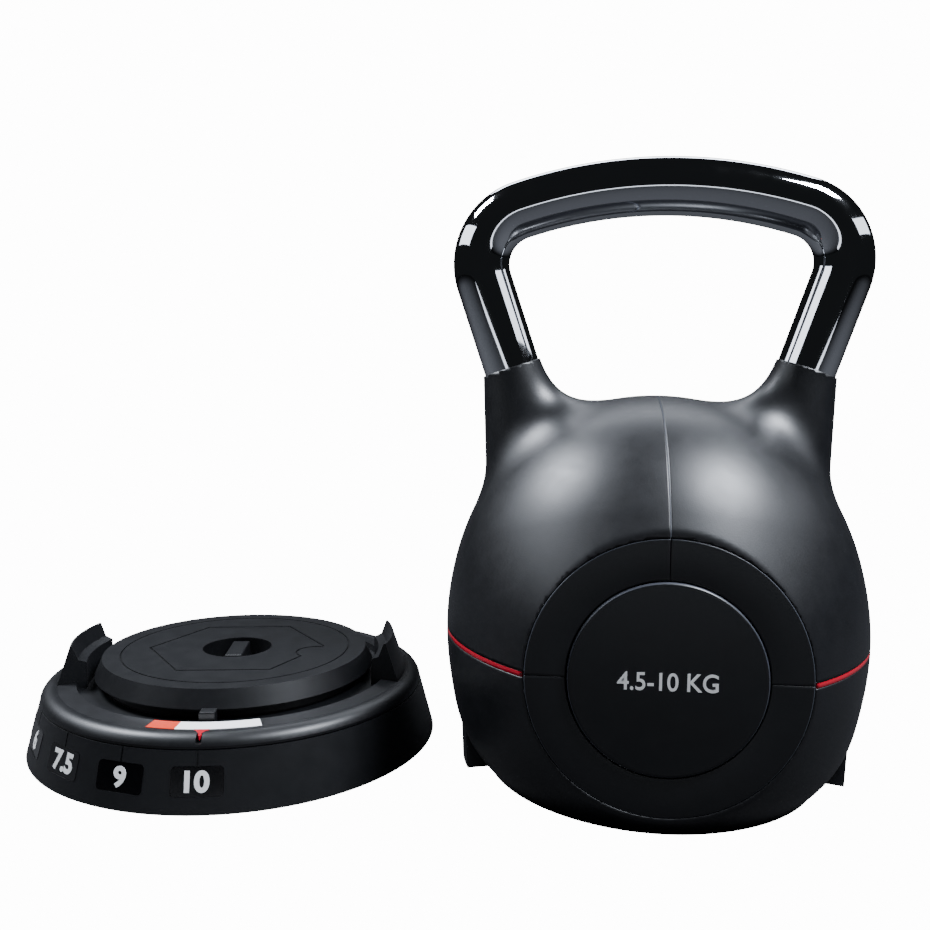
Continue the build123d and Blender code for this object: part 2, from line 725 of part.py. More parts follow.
def coil_spring(plane, length, coil_radius, wire_radius, turns):
    """Round-wire compression spring along a plane's normal."""
    with BuildPart() as spring:
        with BuildLine():
            coil = Helix(pitch=(length - 2 * wire_radius) / turns, height=length - 2 * wire_radius,
                         radius=coil_radius, center=(0, 0, wire_radius))
        with BuildSketch(Plane(origin=coil @ 0, z_dir=coil % 0)):
            Circle(wire_radius)
        sweep(path=coil, is_frenet=True)
    return spring.part.moved(plane.location)


spring_length = detent_outside - detent_screw_length - (ball_reach + ball_radius) - 2 * spring_gap
spring_plane = Plane(origin=(0, -ball_reach - ball_radius - spring_gap, detent_height), z_dir=(0, -1, 0))
with BuildPart() as spindle_detent_spring:
    add(coil_spring(spring_plane, spring_length, spring_radius, spring_wire, 5))
finish(spindle_detent_spring, "spindle_detent_spring")

with BuildPart() as spindle_detent_screw:
    with BuildSketch(Plane.XZ.offset(detent_outside)):
        with Locations((0, detent_height)):
            Circle(ball_radius)
    extrude(amount=-detent_screw_length)
    with BuildSketch(Plane.XZ.offset(detent_outside)):
        with Locations((0, detent_height)):
            RegularPolygon(ball_radius / 2, 6)
    extrude(amount=-detent_screw_length / 2, mode=Mode.SUBTRACT)
finish(spindle_detent_screw, "spindle_detent_screw")

# ================================================================ dial base
window_turns = [-90 - dial_step * step for step in range(dial_count)]
cone_slope = (ring_foot_radius - ring_top_radius) / (ring_top - ring_foot)


def cone_radius(height):
    """Outer radius of the number ring at a height."""
    return ring_foot_radius - cone_slope * (height - ring_foot)


def window_plane(turn):
    """Plane on the cone at a number window, looking outwards."""
    angle = radians(base_heading + turn)
    reach = cone_radius(window_height)
    tilt = sqrt(1 + cone_slope ** 2)
    origin = (base_centre[0] + reach * cos(angle), base_centre[1] + reach * sin(angle), window_height)
    return Plane(origin=origin, x_dir=(-sin(angle), cos(angle), 0),
                 z_dir=(cos(angle) / tilt, sin(angle) / tilt, cone_slope / tilt))


channel_inner, channel_outer, channel_floor = 70, 80, 19
channel_wall = 2
ring_lip = 2
deck_opening = 30
deck_floor = deck_top - deck_thickness
ring_profile = [
    (ring_foot_radius, ring_foot), (ring_top_radius, ring_top), (ring_top_radius - ring_lip, ring_top),
    (ring_top_radius - ring_lip, deck_top), (channel_outer, deck_top),
    (channel_outer, channel_floor + channel_wall), (channel_inner, channel_floor + channel_wall),
    (channel_inner, deck_top), (deck_opening, deck_top), (deck_opening, deck_floor),
    (channel_inner - channel_wall, deck_floor), (channel_inner - channel_wall, channel_floor),
    (channel_outer + channel_wall, channel_floor), (channel_outer + channel_wall, deck_floor),
    (cone_radius(deck_floor) - wall, deck_floor), (ring_foot_radius - wall, pad_thickness),
    (ring_foot_radius - 0.8, pad_thickness)]
mark_length = ring_top - window_height - window_size[1] / 2 + 4
with BuildPart() as number_ring:
    with BuildSketch(base_section()):
        Polygon(*ring_profile, align=None)
    revolve(axis=base_axis)
    for turn in window_turns:
        with BuildSketch(window_plane(turn).offset(wall)):
            RectangleRounded(*window_size, window_corner)
        extrude(amount=-wall - window_depth, mode=Mode.SUBTRACT)
        # thin mark from the window up to the rim
        with BuildSketch(window_plane(turn).offset(wall)):
            with Locations((0, (window_size[1] + mark_length) / 2)):
                Rectangle(mark_width, mark_length)
        extrude(amount=-wall - mark_width / 2, mode=Mode.SUBTRACT)
    with BuildSketch(base_frame.offset(pad_thickness + cover_thickness)):
        with PolarLocations(post_pitch, 6, start_angle=30):
            Circle(post_radius)
    extrude(amount=deck_floor - pad_thickness - cover_thickness)
    with BuildSketch(base_frame.offset(pad_thickness)):
        with PolarLocations(post_pitch, 6, start_angle=30):
            Circle(cover_screw_radius)
    extrude(amount=cover_screw_length + 2, mode=Mode.SUBTRACT)
    # screw holes under the platform
    with Locations(base_frame.offset(deck_top)):
        with PolarLocations(platform_post_pitch, 4, start_angle=45):
            Hole(radius=platform_screw_radius + 3 * fit_gap, depth=deck_thickness)
finish(number_ring, "number_ring")

with BuildPart() as number_windows:
    for turn in window_turns:
        with BuildSketch(window_plane(turn).offset(-window_depth)):
            RectangleRounded(window_size[0] - 2 * fit_gap, window_size[1] - 2 * fit_gap,
                             window_corner - fit_gap)
        extrude(amount=window_plate)
finish(number_windows, "number_windows")

with BuildPart() as base_cover:
    with BuildSketch(base_frame.offset(pad_thickness)):
        Circle(cone_radius(pad_thickness + cover_thickness) - wall - free_gap)
        with PolarLocations(post_pitch, 6, start_angle=30):
            Circle(cover_screw_radius + fit_gap, mode=Mode.SUBTRACT)
        with PolarLocations(drain_pitch, 6):
            SlotOverall(*drain_slot, mode=Mode.SUBTRACT)
    extrude(amount=cover_thickness)
finish(base_cover, "base_cover")

with BuildPart() as cover_screws:
    with BuildSketch(base_frame.offset(pad_thickness)):
        with PolarLocations(post_pitch, 6, start_angle=30):
            Circle(cover_screw_radius)
    extrude(amount=cover_screw_length)
    with BuildSketch(base_frame.offset(pad_thickness)):
        with PolarLocations(post_pitch, 6, start_angle=30):
            Circle(cover_head[0])
    extrude(amount=-cover_head[1])
finish(cover_screws, "cover_screws")

with BuildPart() as rubber_pads:
    with BuildSketch(base_frame):
        with PolarLocations(post_pitch, 6):
            Circle(pad_radius)
    extrude(amount=pad_thickness)
finish(rubber_pads, "rubber_pads")

# platform with its hub, well and grooves
top_under = platform_top - platform_thickness
platform_profile = [
    (well_radius, platform_top), (platform_radius, platform_top), (platform_skirt_radius, platform_skirt),
    (platform_skirt_radius - skirt_wall, platform_skirt), (platform_radius - skirt_wall, top_under),
    (hub_radius, top_under), (hub_radius, deck_top), (hub_radius - hub_wall, deck_top),
    (hub_radius - hub_wall, top_under), (well_radius + hub_wall, top_under),
    (well_radius + hub_wall, well_floor - well_bottom), (6, well_floor - well_bottom), (6, well_floor),
    (well_radius, well_floor)]
boss_width, boss_reach, boss_height = base_detent_boss
with BuildPart() as platform:
    with BuildSketch(base_section()):
        Polygon(*platform_profile, align=None)
    revolve(axis=base_axis)
    with BuildSketch(base_frame.offset(deck_top)):
        with PolarLocations(platform_post_pitch, 4, start_angle=45):
            Circle(post_radius)
    extrude(amount=top_under - deck_top)
    with BuildSketch(base_frame.offset(deck_top)):
        with PolarLocations(platform_post_pitch, 4, start_angle=45):
            Circle(platform_screw_radius)
    extrude(amount=11, mode=Mode.SUBTRACT)
    # grooves in the top: a round one, and a hexagon with a round notch
    with BuildSketch(base_frame.offset(platform_top)):
        Circle(round_groove_radius)
        Circle(round_groove_radius - groove_width, mode=Mode.SUBTRACT)
    extrude(amount=-groove_depth, mode=Mode.SUBTRACT)
    notch_pitch, notch_turn, notch_radius = hex_notch
    with BuildSketch(base_frame.offset(platform_top)):
        RegularPolygon(hex_radius, 6)
        with PolarLocations(notch_pitch, 1, start_angle=notch_turn):
            Circle(notch_radius, mode=Mode.SUBTRACT)
        offset(amount=-1, mode=Mode.SUBTRACT)
    extrude(amount=-groove_depth, mode=Mode.SUBTRACT)
    # boss and radial hole for the turntable's detent
    with BuildSketch(base_frame.offset(deck_top)):
        with Locations((0, -boss_reach)):
            Rectangle(boss_width, boss_width)
    extrude(amount=boss_height)
    bore_start = base_frame.from_local_coords(Vector(0, -(boss_reach - boss_width / 2), base_detent_level))
    with BuildSketch(Plane(origin=bore_start, z_dir=bore_start - base_frame.from_local_coords(
            Vector(0, 0, base_detent_level)))):
        Circle(ball_radius + ball_clearance)
    extrude(amount=platform_skirt_radius - boss_reach, mode=Mode.SUBTRACT)
finish(platform, "platform")

with BuildPart() as platform_screws:
    with BuildSketch(base_frame.offset(deck_floor)):
        with PolarLocations(platform_post_pitch, 4, start_angle=45):
            Circle(platform_screw_radius)
    extrude(amount=12)
    with BuildSketch(base_frame.offset(deck_floor)):
        with PolarLocations(platform_post_pitch, 4, start_angle=45):
            Circle(platform_head[0])
    extrude(amount=-platform_head[1])
finish(platform_screws, "platform_screws")

with BuildPart() as selector_key:
    with BuildSketch(base_frame.offset(well_floor)):
        Circle(well_radius - fit_gap)
    extrude(amount=2)
    with BuildSketch(base_frame.offset(well_floor + 2)):
        Rectangle(key_width, key_length)
    extrude(amount=key_height)
    fillet(selector_key.edges().group_by(Axis.Z)[-1], key_rounding)
finish(selector_key, "selector_key")

# turntable: rim, trough and two lugs
table_floor = deck_top + glide_thickness + glide_gap


def land_height(radius):
    """Height of the label's land at a radius."""
    (outer, low), (inner, high) = land_outer, land_inner
    return high + (low - high) * (radius - inner) / (outer - inner)


with BuildPart() as table_blank:
    with BuildSketch(base_section()):
        with BuildLine():
            side = Line((table_radius, table_floor), (table_radius, rim_edge_height))
            rim = ThreePointArc(side @ 1, rim_middle, land_outer)
            Polyline(rim @ 1, land_inner, (trough_radii[1], trough_floor), (trough_radii[0], trough_floor),
                     (trough_radii[0], table_lip), (table_inner_radius, table_lip),
                     (table_inner_radius, table_floor), side @ 0)
        make_face()
    revolve(axis=base_axis)

with BuildPart() as turntable:
    add(table_blank.part)
    for turn in (0, 180):
        with BuildSketch(base_section(turn - lug_half_angle)):
            lug_root = [(radius, trough_floor - 1) for radius, _ in (lug_outline[-1], lug_outline[0])]
            Polygon(*lug_outline, *lug_root, align=None)
        revolve(axis=base_axis, revolution_arc=2 * lug_half_angle)
    # slot over the rim in front of the pointer, and the pointer's own seat
    with BuildSketch(base_frame.offset(slot_floor)):
        with Locations((0, -pointer_tip + 1)):
            Rectangle(slot_width, table_radius, align=(Align.CENTER, Align.MAX))
    extrude(amount=table_lip - slot_floor, mode=Mode.SUBTRACT)
    with BuildSketch(base_frame.offset(pointer_floor)):
        seat_half, seat_back = pointer_half + fit_gap, pointer_back - fit_gap
        Polygon((-seat_half, -seat_back), (seat_half, -seat_back), (0, -pointer_tip - fit_gap), align=None)
    extrude(amount=table_lip - pointer_floor, mode=Mode.SUBTRACT)
    # opening for the latch tab
    with BuildSketch(base_frame.offset(table_lip)):
        with Locations((0, -latch_reach)):
            Rectangle(latch_size[0] + 2 * free_gap, latch_size[1] + 2 * free_gap)
    extrude(amount=table_floor - table_lip, mode=Mode.SUBTRACT)
    # detent notches, one for each weight
    for step in range(dial_count):
        angle = radians(-90 + dial_step * step)
        reach = table_inner_radius - ball_radius - ball_clearance + ball_travel
        with Locations(base_frame.offset(base_detent_level)):
            with Locations((reach * cos(angle), reach * sin(angle), 0)):
                Sphere(ball_radius + ball_clearance, mode=Mode.SUBTRACT)
finish(turntable, "turntable")

with BuildPart() as pointer:
    add(table_blank.part)
    with BuildSketch(base_frame.offset(pointer_floor)):
        Polygon((-pointer_half, -pointer_back), (pointer_half, -pointer_back), (0, -pointer_tip), align=None)
    extrude(amount=table_lip - pointer_floor, mode=Mode.INTERSECT)
finish(pointer, "pointer")

with BuildPart() as dial_label:
    label_inner, label_outer = label_radii
    with BuildSketch(base_section(-90 - label_sweep / 2)):
        Polygon((label_inner, land_height(label_inner)), (label_outer, land_height(label_outer)),
                (label_outer, land_height(label_outer) + label_thickness),
                (label_inner, land_height(label_inner) + label_thickness), align=None)
    revolve(axis=base_axis, revolution_arc=label_sweep)
finish(dial_label, "dial_label")

latch_foot_level = channel_floor + latch_spring_room
with BuildPart() as latch_tab:
    with BuildSketch(base_frame.offset(latch_foot_level)):
        with Locations((0, -latch_reach)):
            Rectangle(*latch_size)
    extrude(amount=latch_height)
    fillet(latch_tab.edges().group_by(Axis.Z)[-1], latch_rounding)
    with BuildSketch(base_frame.offset(latch_foot_level)):
        with Locations((0, -latch_reach)):
            Rectangle(*latch_foot)
    extrude(amount=latch_foot_thickness)
finish(latch_tab, "latch_tab")

with BuildPart() as glide_ring:
    with BuildSketch(base_frame.offset(deck_top)):
        Circle(glide_radii[1])
        Circle(glide_radii[0], mode=Mode.SUBTRACT)
    extrude(amount=glide_thickness)
finish(glide_ring, "glide_ring")

base_ball_reach = table_inner_radius - ball_radius - ball_clearance
with BuildPart() as base_detent_ball:
    with Locations(base_frame.offset(base_detent_level)):
        with Locations((0, -base_ball_reach, 0)):
            Sphere(ball_radius)
finish(base_detent_ball, "base_detent_ball")

outward = base_frame.from_local_coords(Vector(0, -1, 0)) - base_frame.origin
base_spring_foot = base_frame.from_local_coords(Vector(0, -base_spring_start, base_detent_level))
base_spring_length = base_ball_reach - ball_radius - spring_gap - base_spring_start
with BuildPart() as base_detent_spring:
    add(coil_spring(Plane(origin=base_spring_foot, z_dir=outward), base_spring_length, spring_radius,
                    spring_wire, 4))
finish(base_detent_spring, "base_detent_spring")

base_screw_foot = base_frame.from_local_coords(Vector(0, -base_screw_reach, base_detent_level))
with BuildPart() as base_detent_screw:
    with BuildSketch(Plane(origin=base_screw_foot, z_dir=outward)):
        Circle(ball_radius)
    extrude(amount=base_screw_length)
finish(base_detent_screw, "base_detent_screw")
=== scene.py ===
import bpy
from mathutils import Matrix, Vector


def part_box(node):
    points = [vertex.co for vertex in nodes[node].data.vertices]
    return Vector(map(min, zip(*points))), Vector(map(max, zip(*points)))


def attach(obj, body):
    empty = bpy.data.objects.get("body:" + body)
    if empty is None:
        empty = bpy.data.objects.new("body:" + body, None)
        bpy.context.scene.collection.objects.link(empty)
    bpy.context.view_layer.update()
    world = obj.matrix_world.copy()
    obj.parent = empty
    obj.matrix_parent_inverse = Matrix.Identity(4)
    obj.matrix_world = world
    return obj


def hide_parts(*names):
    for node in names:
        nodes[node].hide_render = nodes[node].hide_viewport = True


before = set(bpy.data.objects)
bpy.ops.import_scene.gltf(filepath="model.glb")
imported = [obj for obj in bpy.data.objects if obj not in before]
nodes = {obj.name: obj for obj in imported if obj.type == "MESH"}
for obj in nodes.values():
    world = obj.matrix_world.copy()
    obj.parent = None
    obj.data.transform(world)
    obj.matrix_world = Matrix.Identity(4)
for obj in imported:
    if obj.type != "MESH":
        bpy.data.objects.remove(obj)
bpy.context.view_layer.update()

import math
import bpy
import bmesh
import numpy as np
from mathutils import Matrix, Vector

mm = 0.001
print("frame loaded:", len(nodes), "nodes")


# helpers for meshes and materials

def newObject(name, verts, faces, body, smooth=True):
    mesh = bpy.data.meshes.new(name)
    mesh.from_pydata([tuple(v) for v in verts], [], faces)
    mesh.validate()
    tidy = bmesh.new()
    tidy.from_mesh(mesh)
    bmesh.ops.remove_doubles(tidy, verts=tidy.verts, dist=1e-7)
    bmesh.ops.recalc_face_normals(tidy, faces=tidy.faces)
    tidy.to_mesh(mesh)
    tidy.free()
    if smooth:
        mesh.polygons.foreach_set("use_smooth", [True] * len(mesh.polygons))
    piece = bpy.data.objects.new(name, mesh)
    bpy.context.scene.collection.objects.link(piece)
    if body:
        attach(piece, body)
    return piece


def gridFaces(rows, columns, closed=False, offset=0):
    faces = []
    for i in range(rows - 1):
        for j in range(columns if closed else columns - 1):
            k = (j + 1) % columns
            faces.append((offset + i * columns + j, offset + i * columns + k,
                          offset + (i + 1) * columns + k, offset + (i + 1) * columns + j))
    return faces


def lathe(profile, segments, matrix=Matrix.Identity(4), arc=None):
    # profile is (radius, height) in mm; a closed ring of points turned about the local Z axis
    start, sweep = arc or (0, 2 * math.pi)
    closed = arc is None
    count = segments if closed else segments + 1
    verts, loop = [], len(profile)
    for radius, height in profile:
        for j in range(count):
            angle = start + sweep * j / segments
            point = Vector((radius * math.cos(angle), radius * math.sin(angle), height))
            verts.append(matrix @ (point * mm))
    faces = gridFaces(loop, count, closed)
    last = (loop - 1) * count
    for j in range(count if closed else count - 1):
        k = (j + 1) % count
        faces.append((last + j, last + k, k, j))
    if not closed:
        faces.append(tuple(i * count for i in range(loop)))
        faces.append(tuple(i * count + count - 1 for i in range(loop))[::-1])
    return verts, faces


def roundedProfile(corners, steps=5):
    # corners are (radius, height, fillet); each corner becomes a short arc
    out, count = [], len(corners)
    for i, (x, y, fillet) in enumerate(corners):
        here = Vector((x, y))
        if not fillet:
            out.append((x, y))
            continue
        a = (Vector(corners[i - 1][:2]) - here).normalized()
        b = (Vector(corners[(i + 1) % count][:2]) - here).normalized()
        half = a.angle(b) / 2
        reach = fillet / math.tan(half)
        centre = here + (a + b).normalized() * fillet / math.sin(half)
        first, last = here + a * reach - centre, here + b * reach - centre
        turn = first.angle_signed(last)
        for s in range(steps + 1):
            angle = -turn * s / steps
            out.append((centre.x + first.x * math.cos(angle) - first.y * math.sin(angle),
                        centre.y + first.x * math.sin(angle) + first.y * math.cos(angle)))
    return out


def addModifier(piece, kind, **settings):
    modifier = piece.modifiers.new(kind.title(), kind)
    for key, value in settings.items():
        setattr(modifier, key, value)
    return modifier


def cutWith(piece, cutter):
    # one-off boolean, applied at once so that the cutter can go
    modifier = addModifier(piece, "BOOLEAN", operation="DIFFERENCE", object=cutter, solver="EXACT")
    graph = bpy.context.evaluated_depsgraph_get()
    mesh = bpy.data.meshes.new_from_object(piece.evaluated_get(graph))
    piece.modifiers.clear()
    piece.data = mesh
    bpy.data.objects.remove(cutter)


def linear(hexColour):
    values = [int(hexColour[i:i + 2], 16) / 255 for i in (1, 3, 5)]
    return [v / 12.92 if v <= 0.04045 else ((v + 0.055) / 1.055) ** 2.4 for v in values] + [1]


def addNode(owner, kind, settings=None, inputs=None):
    # inputs holds numbers, colours or sockets to link; on a Mix node 0 is the factor, 6 and 7 the colours
    node = owner.node_tree.nodes.new(kind)
    for key, value in (settings or {}).items():
        setattr(node, key, value)
    for key, value in (inputs or {}).items():
        if isinstance(value, bpy.types.NodeSocket):
            owner.node_tree.links.new(value, node.inputs[key])
        else:
            node.inputs[key].default_value = value
    return node


def startMaterial(name):
    material = bpy.data.materials.new(name)
    material.use_nodes = True
    shader = material.node_tree.nodes["Principled BSDF"]
    place = addNode(material, "ShaderNodeTexCoord").outputs["Object"]
    return material, shader, place


def linkShader(material, shader, **sockets):
    for key, socket in sockets.items():
        material.node_tree.links.new(socket, shader.inputs[key.replace("_", " ")])


def paint(piece, material):
    piece.data.materials.clear()
    piece.data.materials.append(material)


# the bell's own sizes (mm)

bell = {
    "side": [(77.5, 0), (89.2, 15), (97.2, 42), (99.4, 66), (95.6, 101), (81.3, 136),
             (50, 167.8), (26, 177.6), (0, 180.8)],          # radius, height
    "sideCentre": 68.0,
    "bulge": (98.0, 106.0, 68.4),        # radius, half length, height
    "discHeight": 68.4, "discFace": 85.5,
    "legAngle": 18.5, "mouth": (69.2, 193.6), "mouthRadius": 14.4, "mouthOver": 6.0,
    "hornGrow": (0.04, 0.3), "hornBlend": (29.0, 7.0),       # on the grip's side, on the outer side
    "hornLength": 60.0, "bulgeBlend": 3.0, "edgeBlend": 0.6, "inset": 0.05,
    "wall": 2.6, "accent": (67.15, 69.65),                   # the red strip's lowest and highest
}


# materials

# the grain is drawn coarser than a real tool's, so that it can show
absGrain = {"colour": "#06070a", "worn": "#0b0c10", "grainMm": 0.6, "grainRough": 0.6,
            "blotchMm": 9.0, "blotchRough": 0.65, "roughness": 0.42, "spread": 0.06,
            "bumpMm": 0.035, "bumpStrength": 0.8, "rimWidthMm": 0.12, "ior": 1.53}


def mouldedPlastic(name, look):
    # injection moulded: the tool's grain breaks the highlight into a soft glow, a little uneven in gloss
    material, shader, place = startMaterial(name)
    grain = addNode(material, "ShaderNodeTexNoise", None,
                    {"Vector": place, "Scale": 1 / (look["grainMm"] * mm), "Detail": 3.0,
                     "Roughness": look["grainRough"]})
    blotch = addNode(material, "ShaderNodeTexNoise", None,
                     {"Vector": place, "Scale": 1 / (look["blotchMm"] * mm), "Detail": 4.0,
                      "Roughness": look["blotchRough"]})
    tone = addNode(material, "ShaderNodeMix", {"data_type": "RGBA"},
                   {0: blotch.outputs["Fac"], 6: linear(look["colour"]), 7: linear(look["worn"])}).outputs[2]
    rough = addNode(material, "ShaderNodeMapRange", None,
                    {"Value": blotch.outputs["Fac"], "To Min": look["roughness"] - look["spread"],
                     "To Max": look["roughness"] + look["spread"]})
    bump = addNode(material, "ShaderNodeBump", None,
                   {"Height": grain.outputs["Fac"], "Distance": look["bumpMm"] * mm,
                    "Strength": look["bumpStrength"]})
    near = None
    if "seamMm" in look:
        # how near a point is to the joint of the two halves, where a pale line is painted on as a highlight
        split = addNode(material, "ShaderNodeSeparateXYZ", None, {0: place})
        off = addNode(material, "ShaderNodeMath", {"operation": "ABSOLUTE"}, {0: split.outputs["X"]})
        near = addNode(material, "ShaderNodeMapRange", None,
                       {"Value": off.outputs[0], "From Min": look["seamMm"] * mm,
                        "From Max": 2 * look["seamMm"] * mm, "To Min": 1.0, "To Max": 0.0})
    if "rimMm" in look:
        # how near it is to the rim of a round face, where a pale ring is painted on as a highlight
        split = addNode(material, "ShaderNodeSeparateXYZ", None, {0: place})
        rise = addNode(material, "ShaderNodeMath", {"operation": "SUBTRACT"},
                       {0: split.outputs["Z"], 1: bell["discHeight"] * mm})
        flat = addNode(material, "ShaderNodeCombineXYZ", None, {0: split.outputs["X"], 1: rise.outputs[0]})
        reach = addNode(material, "ShaderNodeVectorMath", {"operation": "LENGTH"}, {0: flat.outputs[0]})
        near = addNode(material, "ShaderNodeMapRange", None,
                       {"Value": reach.outputs["Value"], "To Min": 0.0, "To Max": 1.0,
                        "From Min": (look["rimMm"] - look["rimWidthMm"]) * mm,
                        "From Max": look["rimMm"] * mm})
    # a paler colour mixed in near the joint or the rim: a painted edge highlight
    if near is not None:
        tone = addNode(material, "ShaderNodeMix", {"data_type": "RGBA"},
                       {0: near.outputs["Result"], 6: tone, 7: linear(look["paintedEdgeHighlight"])}).outputs[2]
    linkShader(material, shader, Base_Color=tone, Roughness=rough.outputs["Result"],
               Normal=bump.outputs["Normal"])
    shader.inputs["IOR"].default_value = look["ior"]
    return material


# each differs from the shell's plastic only in what its row says
plasticLooks = {
    # spark-eroded grain: the body's black with a broad soft glow
    "grainedMouldedAbs": {},
    # the same, with a pale line painted along the halves' joint as a highlight
    "grainedMouldedAbsWithSeam": {"seamMm": 0.14, "paintedEdgeHighlight": "#50535b"},
    # from a smooth tool: deeper black and a clearer glow, with a pale ring painted at the rim as a highlight
    "smoothMouldedAbs": {"colour": "#030406", "worn": "#06070a", "roughness": 0.38, "bumpMm": 0.006,
                         "rimMm": 39.9, "paintedEdgeHighlight": "#3c3f46"},
    # finer grain than the shell's: nearly flat black, with a pale ring painted at the rim as a highlight
    "fineGrainedMouldedAbs": {"colour": "#030406", "worn": "#07080b", "roughness": 0.4, "bumpMm": 0.012,
                              "rimMm": 57.55, "paintedEdgeHighlight": "#3c3f46"},
    # satin from a fine tool: a slightly waxy grey sheen
    "satinMouldedPolypropylene": {"colour": "#060709", "worn": "#0a0b0e", "bumpMm": 0.014, "ior": 1.49},
    # polished tool: a glassy black panel behind the figures
    "polishedMouldedAbs": {"colour": "#020203", "worn": "#030304", "roughness": 0.16, "spread": 0.03,
                           "bumpMm": 0.002},
    # glass fibres lie at the surface: dull and mottled grey
    "glassFilledNylon": {"colour": "#2b2c2f", "worn": "#3a3b3e", "roughness": 0.5},
    # undyed: milky and soft
    "naturalNylon": {"colour": "#d8d5c8", "worn": "#c9c6b8", "roughness": 0.45},
    # moulded rubber: matt, with no clear highlight
    "mouldedRubber": {"colour": "#161616", "worn": "#1f1f1f", "roughness": 0.75, "spread": 0.08},
    # polished red strip: a sharp bright line of light
    "glossyRedMouldedAbs": {"colour": "#a31024", "worn": "#b3162b", "roughness": 0.2, "spread": 0.04,
                            "bumpMm": 0.003},
    # pad printed ink: an even flat white
    "padPrintedWhiteInk": {"colour": "#f2f2f0", "worn": "#e8e8e6", "roughness": 0.5, "bumpMm": 0.004},
}
plastic = {name: mouldedPlastic(name, {**absGrain, **look}) for name, look in plasticLooks.items()}

# the hairline marks are drawn coarser than real ones, so that they can show
chromeLook = {"colour": "#dcdee2", "roughness": 0.035, "roughShare": (0.6, 2.2), "hazeMm": 22.0,
              "hazeRange": (0.35, 0.75), "scratchMm": 0.35, "scratchStretch": 0.08,
              "scratchDeepMm": 0.0005, "scratchStrength": 0.35}


def chromePlate(look):
    # chrome plate on a polished bent tube: a mirror, with faint haze and hairline marks where hands rub it
    material, shader, place = startMaterial("chromePlatedSteel")
    haze = addNode(material, "ShaderNodeTexNoise", None,
                   {"Vector": place, "Scale": 1 / (look["hazeMm"] * mm), "Detail": 5.0, "Roughness": 0.7})
    (least, most), (smooth, dull) = look["hazeRange"], look["roughShare"]
    rough = addNode(material, "ShaderNodeMapRange", None,
                    {"Value": haze.outputs["Fac"], "From Min": least, "From Max": most,
                     "To Min": look["roughness"] * smooth, "To Max": look["roughness"] * dull})
    stretch = addNode(material, "ShaderNodeMapping", None,
                      {"Vector": place, "Scale": (look["scratchStretch"], 1, 1)})
    marks = addNode(material, "ShaderNodeTexNoise", None,
                    {"Vector": stretch.outputs["Vector"], "Scale": 1 / (look["scratchMm"] * mm),
                     "Detail": 2.0})
    bump = addNode(material, "ShaderNodeBump", None,
                   {"Height": marks.outputs["Fac"], "Distance": look["scratchDeepMm"] * mm,
                    "Strength": look["scratchStrength"]})
    linkShader(material, shader, Roughness=rough.outputs["Result"], Normal=bump.outputs["Normal"])
    shader.inputs["Base Color"].default_value = linear(look["colour"])
    shader.inputs["Metallic"].default_value = 1.0
    return material


metalLooks = {
    # zinc plate on turned steel: pale grey and satin
    "zincPlatedSteel": {"colour": "#b9bcc2", "hollow": "#8d9096", "roughness": 0.3, "grainMm": 0.4,
                        "bumpMm": 0.01, "metallic": 1.0},
    # paint over sand-cast iron: a dark, lumpy skin
    "paintedCastIron": {"colour": "#26272a", "hollow": "#151618", "roughness": 0.55, "grainMm": 1.4,
                        "bumpMm": 0.12, "metallic": 0.0},
    # pressed and sintered powder: dull gold with dark pores
    "sinteredBronze": {"colour": "#a97c45", "hollow": "#7c5a30", "roughness": 0.4, "grainMm": 0.5,
                       "bumpMm": 0.02, "metallic": 1.0},
}


def workedMetal(name, look):
    # a grain at the size of the working or of the casting sand, darker and rougher in its hollows
    material, shader, place = startMaterial(name)
    grain = addNode(material, "ShaderNodeTexNoise", None,
                    {"Vector": place, "Scale": 1 / (look["grainMm"] * mm), "Detail": 4.0, "Roughness": 0.6})
    tone = addNode(material, "ShaderNodeMix", {"data_type": "RGBA"},
                   {0: grain.outputs["Fac"], 6: linear(look["hollow"]), 7: linear(look["colour"])})
    rough = addNode(material, "ShaderNodeMapRange", None,
                    {"Value": grain.outputs["Fac"], "To Min": look["roughness"] + 0.1,
                     "To Max": look["roughness"] - 0.08})
    bump = addNode(material, "ShaderNodeBump", None,
                   {"Height": grain.outputs["Fac"], "Distance": look["bumpMm"] * mm, "Strength": 0.9})
    linkShader(material, shader, Base_Color=tone.outputs[2], Roughness=rough.outputs["Result"],
               Normal=bump.outputs["Normal"])
    shader.inputs["Metallic"].default_value = look["metallic"]
    return material


chrome = chromePlate(chromeLook)
metal = {name: workedMetal(name, look) for name, look in metalLooks.items()}


labelLook = {"paper": "#f4f3f1", "ink": "#c8320e", "inkShare": 0.27, "roughness": 0.4,
             "fibreMm": 0.3, "fibreDeepMm": 0.005}


def printedPaper(look):
    # coated paper label: white with one plain orange end, and a faint fibre in its sheen
    material, shader, place = startMaterial("coatedPaperPrinted")
    split = addNode(material, "ShaderNodeSeparateXYZ", None, {0: place})
    low, high = (v[0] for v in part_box("dial_label"))
    border = low + (high - low) * look["inkShare"]
    edge = addNode(material, "ShaderNodeMath", {"operation": "LESS_THAN"},
                   {0: split.outputs["X"], 1: border})
    colour = addNode(material, "ShaderNodeMix", {"data_type": "RGBA"},
                     {0: edge.outputs[0], 6: linear(look["paper"]), 7: linear(look["ink"])})
    fibre = addNode(material, "ShaderNodeTexNoise", None,
                    {"Vector": place, "Scale": 1 / (look["fibreMm"] * mm), "Detail": 3.0})
    bump = addNode(material, "ShaderNodeBump", None,
                   {"Height": fibre.outputs["Fac"], "Distance": look["fibreDeepMm"] * mm, "Strength": 0.5})
    linkShader(material, shader, Base_Color=colour.outputs[2], Normal=bump.outputs["Normal"])
    shader.inputs["Roughness"].default_value = look["roughness"]
    return material


printedPaper(labelLook)
print("materials made")


# outer form of the bell, as a field that is below zero inside

def smoothMin(a, b, k):
    # the lesser of two fields, rounded where they meet
    h = np.clip(0.5 + 0.5 * (b - a) / k, 0, 1)
    return b + (a - b) * h - k * h * (1 - h)


